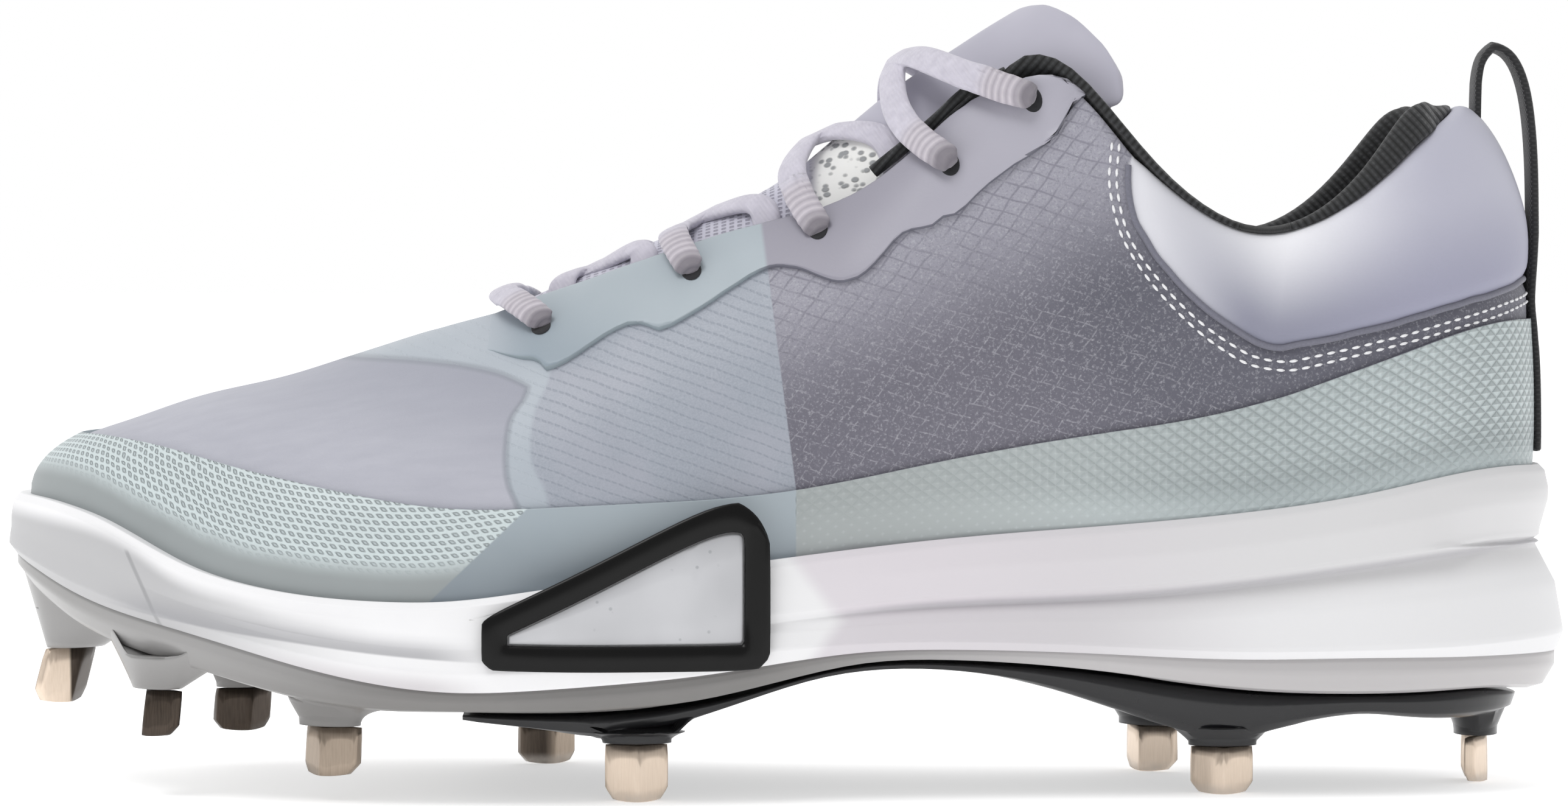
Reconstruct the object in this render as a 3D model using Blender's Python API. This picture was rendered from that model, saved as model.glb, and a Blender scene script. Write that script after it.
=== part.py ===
"""Left baseball cleat, standing empty on its studs.

Metres, +Z up. The toe points to -X, the heel to +X, and the outer (lateral) side of the shoe to -Y.
The origin is on the floor, under the middle of the shoe.
"""
import math

import bmesh
import bpy
import numpy as np

MM = 0.001

# Driving sizes of the whole shoe
LENGTH = 295 * MM
BALL_WIDTH = 106 * MM
RIM_HEIGHT = 60 * MM
COLLAR_HEIGHT = 131 * MM
OPENING_WIDTH = 60 * MM
CLEARANCE = 0.3 * MM

# Sizes of the upper and what is sewn or moulded to it
WALL = 1.8 * MM
COLLAR_WALL = 5.5 * MM
COLLAR_SWELL = 2.2 * MM
RAND_THICKNESS = 0.8 * MM
EYESTAY_THICKNESS = 0.8 * MM
EYESTAY_GAP = 0.6 * MM
LINING_THICKNESS = 1.2 * MM
LINING_DROP = 0.28
LINING_END = 0.5
INSOLE_THICKNESS = 4 * MM
CUP_TAPER = 2 * MM
TONGUE_THICKNESS = 4.5 * MM
LACE_WIDTH = 5.8 * MM
LACE_THICKNESS = 2.2 * MM
LACE_EXIT = 3 * MM
LOW_EXIT = 5 * MM
EXIT_RISE = 3.4 * MM
HIGH_EXIT = -8 * MM
LOOP_WIDTH = 9 * MM
LOOP_THICKNESS = 1.4 * MM

# Sizes under the foot
STEP_DEPTH = 4 * MM
FRAME_INSET = 1.6 * MM
FRAME_DRAFT = 5 * MM
PLATE_INSET = 9 * MM
STUD_WIDTH = 13 * MM
STUD_HEIGHT = 10.5 * MM
STUD_THICKNESS = 1.6 * MM
STUD_FOLD = 28
BOSS_LENGTH = 9.5 * MM
BOSS_WIDTH = 6 * MM
BOSS_ROOT = 1.2 * MM
BOSS_SIDES = 10
WINDOW_THICKNESS = 2 * MM
WINDOW_BORDER = 4.6 * MM
WING_DEPTH = 5 * MM

# How finely the solids are cut: ribs on each side of the shoe, and rows up the upper
SIDE_RIBS = 30
UPPER_ROWS = 10
TONGUE_STATIONS = 15
LACE_STATIONS = 9
PLATE_RIB = 0.03

# How quickly the outline rounds off at heel and toe, as shares of the length
HEEL_ROUND = 0.14
TOE_ROUND = 0.24
TOE_FULLNESS = 2.2

# The sole at stations from heel to toe. The centre line and half width are shares of the ball width.
# The heights of the rim, cup floor, crease, edge, base and low line are shares of the rim height.
# The lip is the rim's width in shares of the ball width, and step is the share of the step's depth.
SOLE_COLUMNS = ("share", "centre", "half", "lip", "rim", "floor", "crease", "edge", "base", "low", "step")
SOLE = (
    (0.000, 0.000, 0.345, 0.062, 1.005, 0.730, 0.760, 0.485, 0.425, 0.300, 1.00),
    (0.030, 0.000, 0.347, 0.062, 1.010, 0.728, 0.765, 0.480, 0.430, 0.322, 1.00),
    (0.080, 0.000, 0.350, 0.060, 0.985, 0.720, 0.745, 0.467, 0.432, 0.322, 1.00),
    (0.140, -0.004, 0.355, 0.058, 0.927, 0.705, 0.707, 0.460, 0.435, 0.318, 0.95),
    (0.220, -0.014, 0.356, 0.056, 0.872, 0.675, 0.655, 0.456, 0.430, 0.332, 0.85),
    (0.310, -0.028, 0.350, 0.054, 0.833, 0.635, 0.617, 0.478, 0.452, 0.395, 0.72),
    (0.400, -0.042, 0.352, 0.052, 0.800, 0.590, 0.602, 0.492, 0.466, 0.430, 0.55),
    (0.470, -0.046, 0.372, 0.052, 0.762, 0.555, 0.574, 0.486, 0.456, 0.412, 0.30),
    (0.520, -0.042, 0.402, 0.052, 0.732, 0.530, 0.545, 0.462, 0.412, 0.330, 0.12),
    (0.580, -0.032, 0.440, 0.051, 0.697, 0.498, 0.517, 0.434, 0.378, 0.288, 0.05),
    (0.640, -0.018, 0.472, 0.050, 0.663, 0.468, 0.492, 0.412, 0.358, 0.276, 0.05),
    (0.700, -0.006, 0.490, 0.049, 0.617, 0.450, 0.478, 0.400, 0.342, 0.284, 0.08),
    (0.760, 0.002, 0.493, 0.048, 0.622, 0.468, 0.500, 0.432, 0.380, 0.285, 0.14),
    (0.820, 0.012, 0.480, 0.047, 0.650, 0.520, 0.548, 0.492, 0.452, 0.335, 0.18),
    (0.865, 0.024, 0.462, 0.046, 0.700, 0.572, 0.600, 0.545, 0.512, 0.385, 0.10),
    (0.890, 0.032, 0.450, 0.046, 0.745, 0.605, 0.638, 0.572, 0.538, 0.412, 0.00),
    (0.915, 0.040, 0.437, 0.045, 0.820, 0.645, 0.690, 0.607, 0.568, 0.445, 0.00),
    (0.945, 0.050, 0.420, 0.044, 0.872, 0.695, 0.740, 0.652, 0.612, 0.487, 0.00),
    (0.975, 0.058, 0.405, 0.043, 0.905, 0.750, 0.785, 0.712, 0.680, 0.570, 0.00),
    (1.000, 0.062, 0.395, 0.042, 0.912, 0.800, 0.812, 0.760, 0.735, 0.640, 0.00),
)

# The upper's ribs, from the back of the heel (around 0) along either side to the toe (around 1).
# The top of each rib is the edge of the opening: along in shares of the length, half width in shares
# of the opening width, height in shares of the collar height. Lean and rise are the rib's angles in
# degrees, outwards from upright at the rim and above level at the top, and the pulls are shares of
# its chord. Roll is how far the lining stands above the wall, a share of the collar wall.
RIB_COLUMNS = ("around", "along", "half", "height", "lean", "low_pull", "rise", "high_pull", "roll")
RIBS = (
    (0.00, 0.070, 0.000, 0.996, 1, 0.36, 122, 0.36, 0.45),
    (0.08, 0.080, 0.200, 0.994, 3, 0.36, 119, 0.36, 0.75),
    (0.16, 0.106, 0.350, 0.974, 7, 0.36, 112, 0.34, 1.35),
    (0.23, 0.139, 0.452, 0.880, 9, 0.36, 105, 0.32, 1.00),
    (0.30, 0.190, 0.500, 0.798, 9, 0.36, 100, 0.32, 0.40),
    (0.35, 0.238, 0.500, 0.822, 8, 0.36, 99, 0.32, 0.42),
    (0.39, 0.288, 0.455, 0.925, 7, 0.37, 104, 0.30, 0.55),
    (0.42, 0.325, 0.400, 1.005, 7, 0.37, 110, 0.30, 0.60),
    (0.45, 0.361, 0.340, 1.030, 7, 0.37, 116, 0.30, 0.55),
    (0.49, 0.401, 0.292, 0.955, 7, 0.36, 123, 0.30, 0.50),
    (0.54, 0.450, 0.262, 0.860, 7, 0.34, 130, 0.32, 0.35),
    (0.60, 0.517, 0.236, 0.808, 7, 0.31, 137, 0.34, 0.00),
    (0.68, 0.595, 0.206, 0.750, 6, 0.27, 144, 0.38, 0.00),
    (0.76, 0.659, 0.170, 0.700, 4, 0.24, 150, 0.43, 0.00),
    (0.84, 0.697, 0.120, 0.676, 2, 0.21, 154, 0.48, 0.00),
    (0.92, 0.712, 0.062, 0.666, 0, 0.19, 157, 0.51, 0.00),
    (1.00, 0.716, 0.000, 0.663, -3, 0.18, 159, 0.52, 0.00),
)

# Where the padded collar's seam runs: the share of the rib's height at which the pad begins
SEAM_COLUMNS = ("around", "height")
SEAM = (
    (0.00, 0.42),
    (0.09, 0.42),
    (0.15, 0.41),
    (0.21, 0.43),
    (0.26, 0.47),
    (0.31, 0.56),
    (0.34, 0.67),
    (0.37, 0.77),
    (0.395, 0.92),
    (0.42, 1.20),
)

# The upper edge of the textured rand, as a share of the rib's height
RAND_COLUMNS = ("around", "height")
RAND = (
    (0.00, 0.32),
    (0.08, 0.32),
    (0.20, 0.345),
    (0.28, 0.378),
    (0.36, 0.275),
    (0.40, 0.192),
    (0.44, 0.146),
    (0.48, 0.130),
    (0.545, 0.160),
    (0.61, 0.206),
    (0.68, 0.270),
    (0.76, 0.335),
    (0.82, 0.322),
    (0.90, 0.310),
    (1.00, 0.300),
)

# The scalloped lower edge of the eyestay, as a share of the rib's height
EYESTAY_COLUMNS = ("around", "height")
EYESTAY = (
    (0.410, 0.970),
    (0.440, 0.780),
    (0.465, 0.650),
    (0.490, 0.600),
    (0.515, 0.650),
    (0.560, 0.795),
    (0.580, 0.755),
    (0.595, 0.672),
    (0.625, 0.705),
    (0.640, 0.615),
    (0.655, 0.650),
    (0.690, 0.719),
    (0.720, 0.772),
    (0.780, 0.835),
    (0.860, 0.880),
    (1.000, 0.900),
)
EYESTAY_START = 0.41
EYESTAY_FINENESS = 2

# The tongue at stations from its root to its top. Its sides lie under the ribs of the upper: around
# names the rib, edge and lip the heights on it. The middle of its face is along and up in shares of
# the length and the collar height, and thick is a share of the tongue's thickness.
TONGUE_COLUMNS = ("around", "edge", "lip", "along", "height", "thick")
TONGUE = (
    (0.950, 0.860, 0.930, 0.7190, 0.620, 0.45),
    (0.890, 0.850, 0.950, 0.6900, 0.662, 0.55),
    (0.820, 0.820, 0.960, 0.6690, 0.692, 0.60),
    (0.740, 0.800, 0.970, 0.6480, 0.714, 0.60),
    (0.660, 0.780, 0.970, 0.5900, 0.776, 0.65),
    (0.600, 0.760, 0.970, 0.5300, 0.832, 0.70),
    (0.540, 0.740, 0.960, 0.4660, 0.918, 0.80),
    (0.490, 0.740, 0.960, 0.4190, 1.010, 0.95),
    (0.450, 0.760, 0.990, 0.3880, 1.068, 1.15),
    (0.430, 0.860, 1.050, 0.3680, 1.098, 1.35),
    (0.414, 0.960, 1.100, 0.3560, 1.114, 1.30),
    (0.405, 1.020, 1.120, 0.3500, 1.118, 0.80),
)

# The holes of the lacing on either side, from the toe: the rib, and the height on it
HOLE_COLUMNS = ("around", "height")
HOLES = (
    (0.693, 0.800),
    (0.616, 0.870),
    (0.554, 0.900),
    (0.466, 0.793),
    (0.433, 0.920),
)

# The laces over the tongue in the middle of the shoe, along and up as for the tongue: first the
# straight bar, then the crossings. Each runs from a lower hole to a higher one on the other side,
# and its ends lie on top of the eyestay (1) or come from under its edge (0).
CROSSING_COLUMNS = ("along", "height", "low_hole", "low_on_top", "high_hole", "high_on_top")
CROSSINGS = (
    (0.678, 0.712, 0, 1, 0, 1),
    (0.628, 0.758, 0, 0, 1, 0),
    (0.553, 0.834, 1, 1, 2, 0),
    (0.478, 0.948, 2, 1, 3, 0),
    (0.428, 1.041, 3, 1, 4, 1),
)

# The studs: along and aside in shares of the length and ball width, turn about the upright in
# degrees, the height of the tip and how tall the blade stands in shares of the stud height, the
# lean of its foot forwards in degrees, and 1 where the black plate carries it
STUD_COLUMNS = ("along", "aside", "turn", "tip", "tall", "lean", "plate")
STUDS = (
    (0.958, 0.070, 48, 1.37, 1.00, 14, 0),
    (0.890, -0.285, -58, 1.08, 0.82, 6, 0),
    (0.857, 0.330, 30, 0.62, 0.80, 4, 0),
    (0.781, -0.345, -32, 0.44, 0.86, 3, 0),
    (0.656, 0.330, 26, 0.00, 0.80, 0, 1),
    (0.591, -0.360, 4, 0.00, 1.00, 0, 1),
    (0.262, 0.190, -44, 0.00, 0.84, 0, 1),
    (0.225, -0.225, 2, 0.00, 0.84, 0, 1),
    (0.056, 0.000, 86, 0.00, 0.84, 0, 1),
)

# The side window on the outer side, from its front to its back: along in shares of the length, its
# lower and upper edge in shares of the rim height
WINDOW_COLUMNS = ("along", "low", "high")
WINDOW = (
    (0.684, 0.445, 0.560),
    (0.678, 0.418, 0.588),
    (0.645, 0.412, 0.662),
    (0.612, 0.410, 0.742),
    (0.579, 0.410, 0.826),
    (0.546, 0.410, 0.905),
    (0.528, 0.411, 0.918),
    (0.516, 0.416, 0.880),
    (0.509, 0.452, 0.800),
)

# The black plate under the foot, from the heel to the ball: its lower face in shares of the rim height
PLATE_COLUMNS = ("share", "under")
PLATE = (
    (0.000, 0.235),
    (0.060, 0.225),
    (0.125, 0.248),
    (0.165, 0.238),
    (0.185, 0.196),
    (0.215, 0.186),
    (0.260, 0.206),
    (0.300, 0.280),
    (0.340, 0.345),
    (0.390, 0.388),
    (0.450, 0.395),
    (0.500, 0.350),
    (0.540, 0.262),
    (0.575, 0.205),
    (0.625, 0.198),
    (0.665, 0.230),
    (0.695, 0.255),
)
PLATE_FRONT = 0.63

# The free part of the pull loop in the shoe's middle plane, from the collar's top over to the back
# of the heel: along in shares of the length, height in shares of the collar height
LOOP_COLUMNS = ("along", "height")
LOOP = (
    (0.0590, 0.985),
    (0.0580, 1.015),
    (0.0550, 1.044),
    (0.0470, 1.060),
    (0.0370, 1.053),
    (0.0285, 1.020),
    (0.0235, 0.965),
    (0.0210, 0.880),
    (0.0210, 0.800),
)
LOOP_LANDING = 0.52


def curve_through(knots, values):
    """A natural cubic through the points, as a function of the knots' own quantity."""
    knots = np.array(knots, float)
    values = np.array(values, float)
    gaps = np.diff(knots)
    slopes = np.diff(values) / gaps
    count = len(knots)
    system = np.eye(count)
    target = np.zeros(count)
    for i in range(1, count - 1):
        system[i, i - 1 : i + 2] = gaps[i - 1], 2 * (gaps[i - 1] + gaps[i]), gaps[i]
        target[i] = 6 * (slopes[i] - slopes[i - 1])
    bends = np.linalg.solve(system, target)

    def value(at):
        at = np.clip(at, knots[0], knots[-1])
        i = np.clip(np.searchsorted(knots, at) - 1, 0, count - 2)
        after = at - knots[i]
        before = knots[i + 1] - at
        cubic = bends[i] * before**3 + bends[i + 1] * after**3
        left = (values[i] / gaps[i] - bends[i] * gaps[i] / 6) * before
        right = (values[i + 1] / gaps[i] - bends[i + 1] * gaps[i] / 6) * after
        return cubic / (6 * gaps[i]) + left + right

    return value


def column(table, names, name, mirrored=None):
    """One column of a table as a smooth function of its first column.

    A mirrored column runs on past both ends of the table, "even" or "odd" about them, because
    the ribs of the two sides meet there.
    """
    knots = [row[0] for row in table]
    values = [row[names.index(name)] for row in table]
    if mirrored:
        sign = 1 if mirrored == "even" else -1
        first, last = knots[0], knots[-1]
        before = [2 * first - k for k in knots[1:3]][::-1]
        after = [2 * last - k for k in knots[-3:-1]][::-1]
        values = [sign * v for v in values[1:3]][::-1] + values + [sign * v for v in values[-3:-1]][::-1]
        knots = before + knots + after
    return curve_through(knots, values)


sole = {name: column(SOLE, SOLE_COLUMNS, name) for name in SOLE_COLUMNS[1:]}
rib = {
    name: column(RIBS, RIB_COLUMNS, name, "odd" if name == "half" else "even")
    for name in RIB_COLUMNS[1:]
}
seam_height = column(SEAM, SEAM_COLUMNS, "height")
rand_height = column(RAND, RAND_COLUMNS, "height", "even")
eyestay_height = column(EYESTAY, EYESTAY_COLUMNS, "height")
plate_under = column(PLATE, PLATE_COLUMNS, "under")
window = {name: np.array([row[i] for row in WINDOW]) for i, name in enumerate(WINDOW_COLUMNS)}
TONGUE_KNOTS = [i / (len(TONGUE) - 1) for i in range(len(TONGUE))]
tongue = {
    name: curve_through(TONGUE_KNOTS, [row[i] for row in TONGUE])
    for i, name in enumerate(TONGUE_COLUMNS)
}
tongue_around = tongue["around"]


def x_at(share):
    """The length coordinate at a share of the length, counted from the heel."""
    return LENGTH * (0.5 - share)


def side_of(around):
    """The rib's distance from heel to toe (0 to 1) and its side: -1 outer, 1 inner."""
    around = around % 2
    if around <= 1:
        return around, -1
    return 2 - around, 1


def outline_share(distance):
    return (1 - math.cos(math.pi * distance)) / 2


def end_rounding(share):
    """Closes the outline at the heel and the toe with a quarter ellipse."""
    if share < HEEL_ROUND:
        return math.sqrt(max(0.0, 1 - ((HEEL_ROUND - share) / HEEL_ROUND) ** 2))
    if share > 1 - TOE_ROUND:
        return max(0.0, 1 - ((share - 1 + TOE_ROUND) / TOE_ROUND) ** TOE_FULLNESS) ** (1 / TOE_FULLNESS)
    return 1.0


def outline_point(around):
    """A point of the sole's plan outline, with its share of the length."""
    distance, side = side_of(around)
    share = outline_share(distance)
    half = sole["half"](share) * end_rounding(share)
    y = BALL_WIDTH * (sole["centre"](share) + side * half)
    return np.array([x_at(share), y]), share


def outline_normal(around):
    step = 0.004
    ahead = outline_point(around + step)[0]
    behind = outline_point(around - step)[0]
    along = (ahead - behind) / np.linalg.norm(ahead - behind)
    return np.array([-along[1], along[0]])


def sole_point(around, inset, height):
    """A point at a height, this far inside the sole's outline."""
    point, _ = outline_point(around)
    inside = point - outline_normal(around) * inset
    return np.array([inside[0], inside[1], height])


def sole_height(around, name):
    return RIM_HEIGHT * float(sole[name](outline_point(around)[1]))


def lip_width(around):
    return BALL_WIDTH * float(sole["lip"](outline_point(around)[1]))


def rim_point(around):
    """Where the upper's outer face leaves the cup of the midsole."""
    return sole_point(around, lip_width(around), sole_height(around, "rim"))


def foot_point(around):
    """The lower edge of the upper's outer face, on the cup's floor."""
    lift = 2 * CLEARANCE
    return sole_point(around, lip_width(around) + CUP_TAPER, sole_height(around, "floor") + lift)


def top_point(around):
    """The edge of the opening, before the lining's roll is taken off."""
    distance, side = side_of(around)
    centre = BALL_WIDTH * float(sole["centre"](rib["along"](distance)))
    return np.array(
        [
            x_at(float(rib["along"](distance))),
            centre + side * OPENING_WIDTH * float(rib["half"](distance)),
            COLLAR_HEIGHT * float(rib["height"](distance)),
        ]
    )


def rib_controls(around):
    """The four control points of the rib's curve from the rim to the edge of the opening."""
    distance, _ = side_of(around)
    low, high = rim_point(around), top_point(around)
    outward = outline_normal(around)
    lean = math.radians(float(rib["lean"](distance)))
    low_way = np.array([outward[0] * math.sin(lean), outward[1] * math.sin(lean), math.cos(lean)])
    inward = (high - low)[:2]
    inward = inward / np.linalg.norm(inward)
    rise = math.radians(180 - float(rib["rise"](distance)))
    high_way = np.array([inward[0] * math.cos(rise), inward[1] * math.cos(rise), math.sin(rise)])
    chord = np.linalg.norm(high - low)
    return (
        low,
        low + low_way * chord * float(rib["low_pull"](distance)),
        high - high_way * chord * float(rib["high_pull"](distance)),
        high,
    )


def bare_skin(around, height):
    """The upper's outer face without the collar's padding. Height is -1 at its foot, 0 at the rim, 1 on top."""
    if height < 0:
        return rim_point(around) + (foot_point(around) - rim_point(around)) * -height
    a, b, c, d = rib_controls(around)
    left = 1 - height
    return a * left**3 + 3 * b * left**2 * height + 3 * c * left * height**2 + d * height**3


def skin_normal(around, height):
    """The outward normal of the outer face."""
    turn, climb = 0.006, 0.02
    across = bare_skin(around + turn, height) - bare_skin(around - turn, height)
    low, high = max(height - climb, -1), min(height + climb, 1)
    if low < 0 < high:
        low = 0
    up = bare_skin(around, high) - bare_skin(around, low)
    normal = np.cross(up, across)
    return normal / np.linalg.norm(normal)


def padding(around, height):
    """How far into the padded collar a point lies, 0 to 1."""
    distance, _ = side_of(around)
    seam = float(seam_height(distance)) if distance < SEAM[-1][0] else 2.0
    if height <= seam or seam >= 1:
        return 0.0
    return min(1.0, (height - seam) / max(0.12, 0.45 * (1 - seam)))


def swell(around, height):
    pad = padding(around, height)
    fade = 1 - 0.55 * max(0.0, (height - 0.75) / 0.25) ** 2
    return COLLAR_SWELL * math.sin(pad * math.pi / 2) ** 0.8 * fade if pad else 0.0


def wall_at(around, height):
    """The thickness of the upper's wall: thin fabric, and foam inside the collar."""
    return WALL + (COLLAR_WALL - WALL) * math.sin(padding(around, height) * math.pi / 2)


def skin(around, height, depth):
    """A point this far under the upper's outer face, or above it where depth is negative."""
    return bare_skin(around, height) + skin_normal(around, height) * (swell(around, height) - depth)


def wall_top(around):
    """The share of the rib at which the wall ends and the lining's roll begins."""
    distance, _ = side_of(around)
    chord = np.linalg.norm(top_point(around) - rim_point(around))
    roll = COLLAR_WALL * max(0.0, float(rib["roll"](distance)))
    return 1 - roll / chord


def mesh_object(name, points, faces, finish):
    """A closed solid as an object, with its faces pointing out."""
    mesh = bpy.data.meshes.new(name)
    mesh.from_pydata([tuple(p) for p in points], [], faces)
    body = bmesh.new()
    body.from_mesh(mesh)
    bmesh.ops.recalc_face_normals(body, faces=body.faces)
    if body.calc_volume(signed=True) < 0:
        bmesh.ops.reverse_faces(body, faces=body.faces)
    body.to_mesh(mesh)
    body.free()
    mesh.shade_smooth()
    mesh.set_sharp_from_angle(angle=math.radians(40))
    if finish:
        mesh.materials.append(finish)
    item = bpy.data.objects.new(name, mesh)
    bpy.context.scene.collection.objects.link(item)
    return item


def ring_faces(rows, around, closed_rows):
    """Quads between rows of points that each run once round the shoe."""
    faces = []
    for row in range(rows if closed_rows else rows - 1):
        for i in range(around):
            here, right = row * around + i, row * around + (i + 1) % around
            above = (row + 1) % rows * around
            faces.append((here, right, above + (i + 1) % around, above + i))
    return faces


def ladder_faces(start, around):
    """Closes a loop with rungs from its outer side to its inner side."""
    half = around // 2
    faces = []
    for i in range(half):
        a, b = start + i, start + i + 1
        c, d = start + (around - i - 1) % around, start + (around - i) % around
        face = [a, b]
        face += [c] if c != b else []
        face += [d] if d != a else []
        faces.append(tuple(face))
    return faces


def arounds():
    return [i / SIDE_RIBS for i in range(2 * SIDE_RIBS)]


def capped_rings(name, rows, finish):
    """A solid from loops stacked one on the other, closed under the first and over the last."""
    around = len(rows[0])
    points = [p for row in rows for p in row]
    faces = ring_faces(len(rows), around, False)
    faces += ladder_faces(0, around) + ladder_faces((len(rows) - 1) * around, around)
    return mesh_object(name, points, faces, finish)


def hollow_rings(name, rows, finish):
    """A ring-shaped solid from loops that run back to the first one."""
    points = [p for row in rows for p in row]
    return mesh_object(name, points, ring_faces(len(rows), len(rows[0]), True), finish)


def swept(name, sections, finish):
    """A solid from closed sections one behind the other, with both ends capped."""
    size = len(sections[0])
    points = [p for section in sections for p in section]
    faces = []
    for s in range(len(sections) - 1):
        for i in range(size):
            a, b = s * size + i, s * size + (i + 1) % size
            faces.append((a, b, b + size, a + size))
    faces.append(tuple(range(size)))
    faces.append(tuple(range((len(sections) - 1) * size, len(sections) * size)))
    return mesh_object(name, points, faces, finish)


def finish_of(name, colour, roughness, metallic=0.0):
    material = bpy.data.materials.new(name)
    material.use_nodes = True
    shader = material.node_tree.nodes["Principled BSDF"]
    shader.inputs["Base Color"].default_value = (*colour, 1)
    shader.inputs["Roughness"].default_value = roughness
    shader.inputs["Metallic"].default_value = metallic
    return material


def joined(item, other, operation="UNION"):
    """Joins or cuts one object with another, which stays behind as a helper."""
    other.hide_render = True
    other.display_type = "WIRE"
    change = item.modifiers.new(operation.lower(), "BOOLEAN")
    change.operation = operation
    change.object = other
    change.solver = "EXACT"
    return item


def make_upper(finish):
    """The hollow upper: outer face from the foot edge up, over the rim of the opening, and back down inside."""
    heights = [-1, 0] + [(i + 1) / UPPER_ROWS for i in range(UPPER_ROWS)]
    outer, inner = [], []
    for height in heights:
        outer.append([])
        inner.append([])
        for around in arounds():
            level = height * wall_top(around) if height > 0 else height
            wall = wall_at(around, level)
            outer[-1].append(skin(around, level, 0.18 * wall if height == 1 else 0))
            inner[-1].append(skin(around, level, wall))
    return hollow_rings("upper", outer + inner[::-1], finish)


def make_rand(finish):
    """The moulded rand round the foot of the upper, sitting on the midsole's rim."""
    outer, inner = [], []
    for share in (0, 0.32, 0.64, 0.94, 1):
        outer.append([])
        inner.append([])
        for around in arounds():
            distance, _ = side_of(around)
            top = float(rand_height(distance))
            start = 0.02
            height = start + (top - start) * share
            depth = -CLEARANCE - (RAND_THICKNESS if share < 1 else 0.35 * RAND_THICKNESS)
            outer[-1].append(skin(around, height, depth))
            inner[-1].append(skin(around, height, -CLEARANCE))
    return hollow_rings("rand", outer + inner[::-1], finish)


def make_midsole(finish):
    """The foam carrier: stepped sides, a rim, and the cup that holds the upper."""

    def row(name, inset, lift=0.0):
        return [
            sole_point(a, inset(a), sole_height(a, name) + lift)
            for a in arounds()
        ]

    def step(around):
        return STEP_DEPTH * float(sole["step"](outline_point(around)[1]))

    def between(low, high, share, inset):
        return [
            sole_point(
                a,
                inset(a),
                sole_height(a, low) * (1 - share) + sole_height(a, high) * share,
            )
            for a in arounds()
        ]

    gap = CLEARANCE
    rows = [
        row("base", lambda a: 1.2 * MM),
        row("edge", lambda a: 0.0),
        between("edge", "crease", 0.55, lambda a: 0.35 * step(a) + 0.2 * MM),
        row("crease", lambda a: 1.25 * step(a) + 0.4 * MM, -0.3 * MM),
        row("crease", lambda a: 0.55 * step(a) + 0.4 * MM, 1.4 * MM),
        between("crease", "rim", 0.55, lambda a: 0.45 * step(a) + 0.6 * MM),
        row("rim", lambda a: 0.65 * step(a) + 1.0 * MM, -1.2 * MM),
        row("rim", lambda a: 0.65 * step(a) + 2.2 * MM),
        [rim_point(a) + np.array([*(outline_normal(a) * gap), -0.2 * MM]) for a in arounds()],
        [
            foot_point(a) + np.array([*(outline_normal(a) * gap), -2 * gap])
            for a in arounds()
        ],
    ]
    return joined(capped_rings("midsole", rows, finish), make_wing(finish))


def make_insole(finish):
    """The sock liner on the cup's floor, inside the upper."""

    def loop(lift):
        loops = []
        for a in arounds():
            rise = lift / max(1 * MM, sole_height(a, "rim") - sole_height(a, "floor"))
            wall = foot_point(a) + (rim_point(a) - foot_point(a)) * rise
            inward = outline_normal(a) * (WALL + 2.2 * CLEARANCE)
            loops.append(
                np.array([wall[0] - inward[0], wall[1] - inward[1], sole_height(a, "floor") + CLEARANCE + lift])
            )
        return loops

    return capped_rings("insole", [loop(0.0), loop(INSOLE_THICKNESS)], finish)


def make_sole_frame(finish):
    """The pale plate under the whole midsole, deepest under the toe."""
    gap = CLEARANCE

    def loop(share, inset):
        return [
            sole_point(
                a,
                inset,
                (sole_height(a, "base") - gap) * (1 - share) + sole_height(a, "low") * share,
            )
            for a in arounds()
        ]

    rows = [
        loop(1.0, FRAME_INSET + FRAME_DRAFT),
        loop(0.88, FRAME_INSET + 2.2 * MM),
        loop(0.35, FRAME_INSET),
        loop(0.0, FRAME_INSET),
    ]
    frame = capped_rings("sole_frame", rows, finish)
    for number, row in enumerate(STUDS, 1):
        if row[STUD_COLUMNS.index("plate")] == 0:
            joined(frame, make_boss(row, number))
    return frame


def grid_solid(name, outer, inner, finish):
    """A thin solid between two grids of points that face each other."""
    rows, count = len(outer), len(outer[0])
    points = [p for row in outer for p in row] + [p for row in inner for p in row]
    behind = rows * count
    faces = []
    for r in range(rows - 1):
        for i in range(count - 1):
            a = r * count + i
            faces.append((a, a + 1, a + count + 1, a + count))
            faces.append((behind + a, behind + a + count, behind + a + count + 1, behind + a + 1))
    last = (rows - 1) * count
    for i in range(count - 1):
        faces.append((i, behind + i, behind + i + 1, i + 1))
        faces.append((last + i, last + i + 1, behind + last + i + 1, behind + last + i))
    for r in range(rows - 1):
        for a in (r * count, r * count + count - 1):
            faces.append((a, a + count, behind + a + count, behind + a))
    return mesh_object(name, points, faces, finish)


def make_eyestay(finish):
    """The smooth overlay with the lace holes, round the throat from collar to collar."""
    count = round(EYESTAY_FINENESS * SIDE_RIBS)
    first = round(EYESTAY_START * count)
    ribs = [i / count for i in range(first, 2 * count - first + 1)]
    outer, inner = [], []
    for share in (0, 0.1, 0.9, 1):
        outer.append([])
        inner.append([])
        for around in ribs:
            distance, _ = side_of(around)
            low = float(eyestay_height(distance))
            height = low + (0.985 * wall_top(around) - low) * share
            rounded = 0.55 if share in (0, 1) else 1.0
            outer[-1].append(skin(around, height, -EYESTAY_GAP - rounded * EYESTAY_THICKNESS))
            inner[-1].append(skin(around, height, -EYESTAY_GAP))
    return grid_solid("eyestay", outer, inner, finish)


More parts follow.
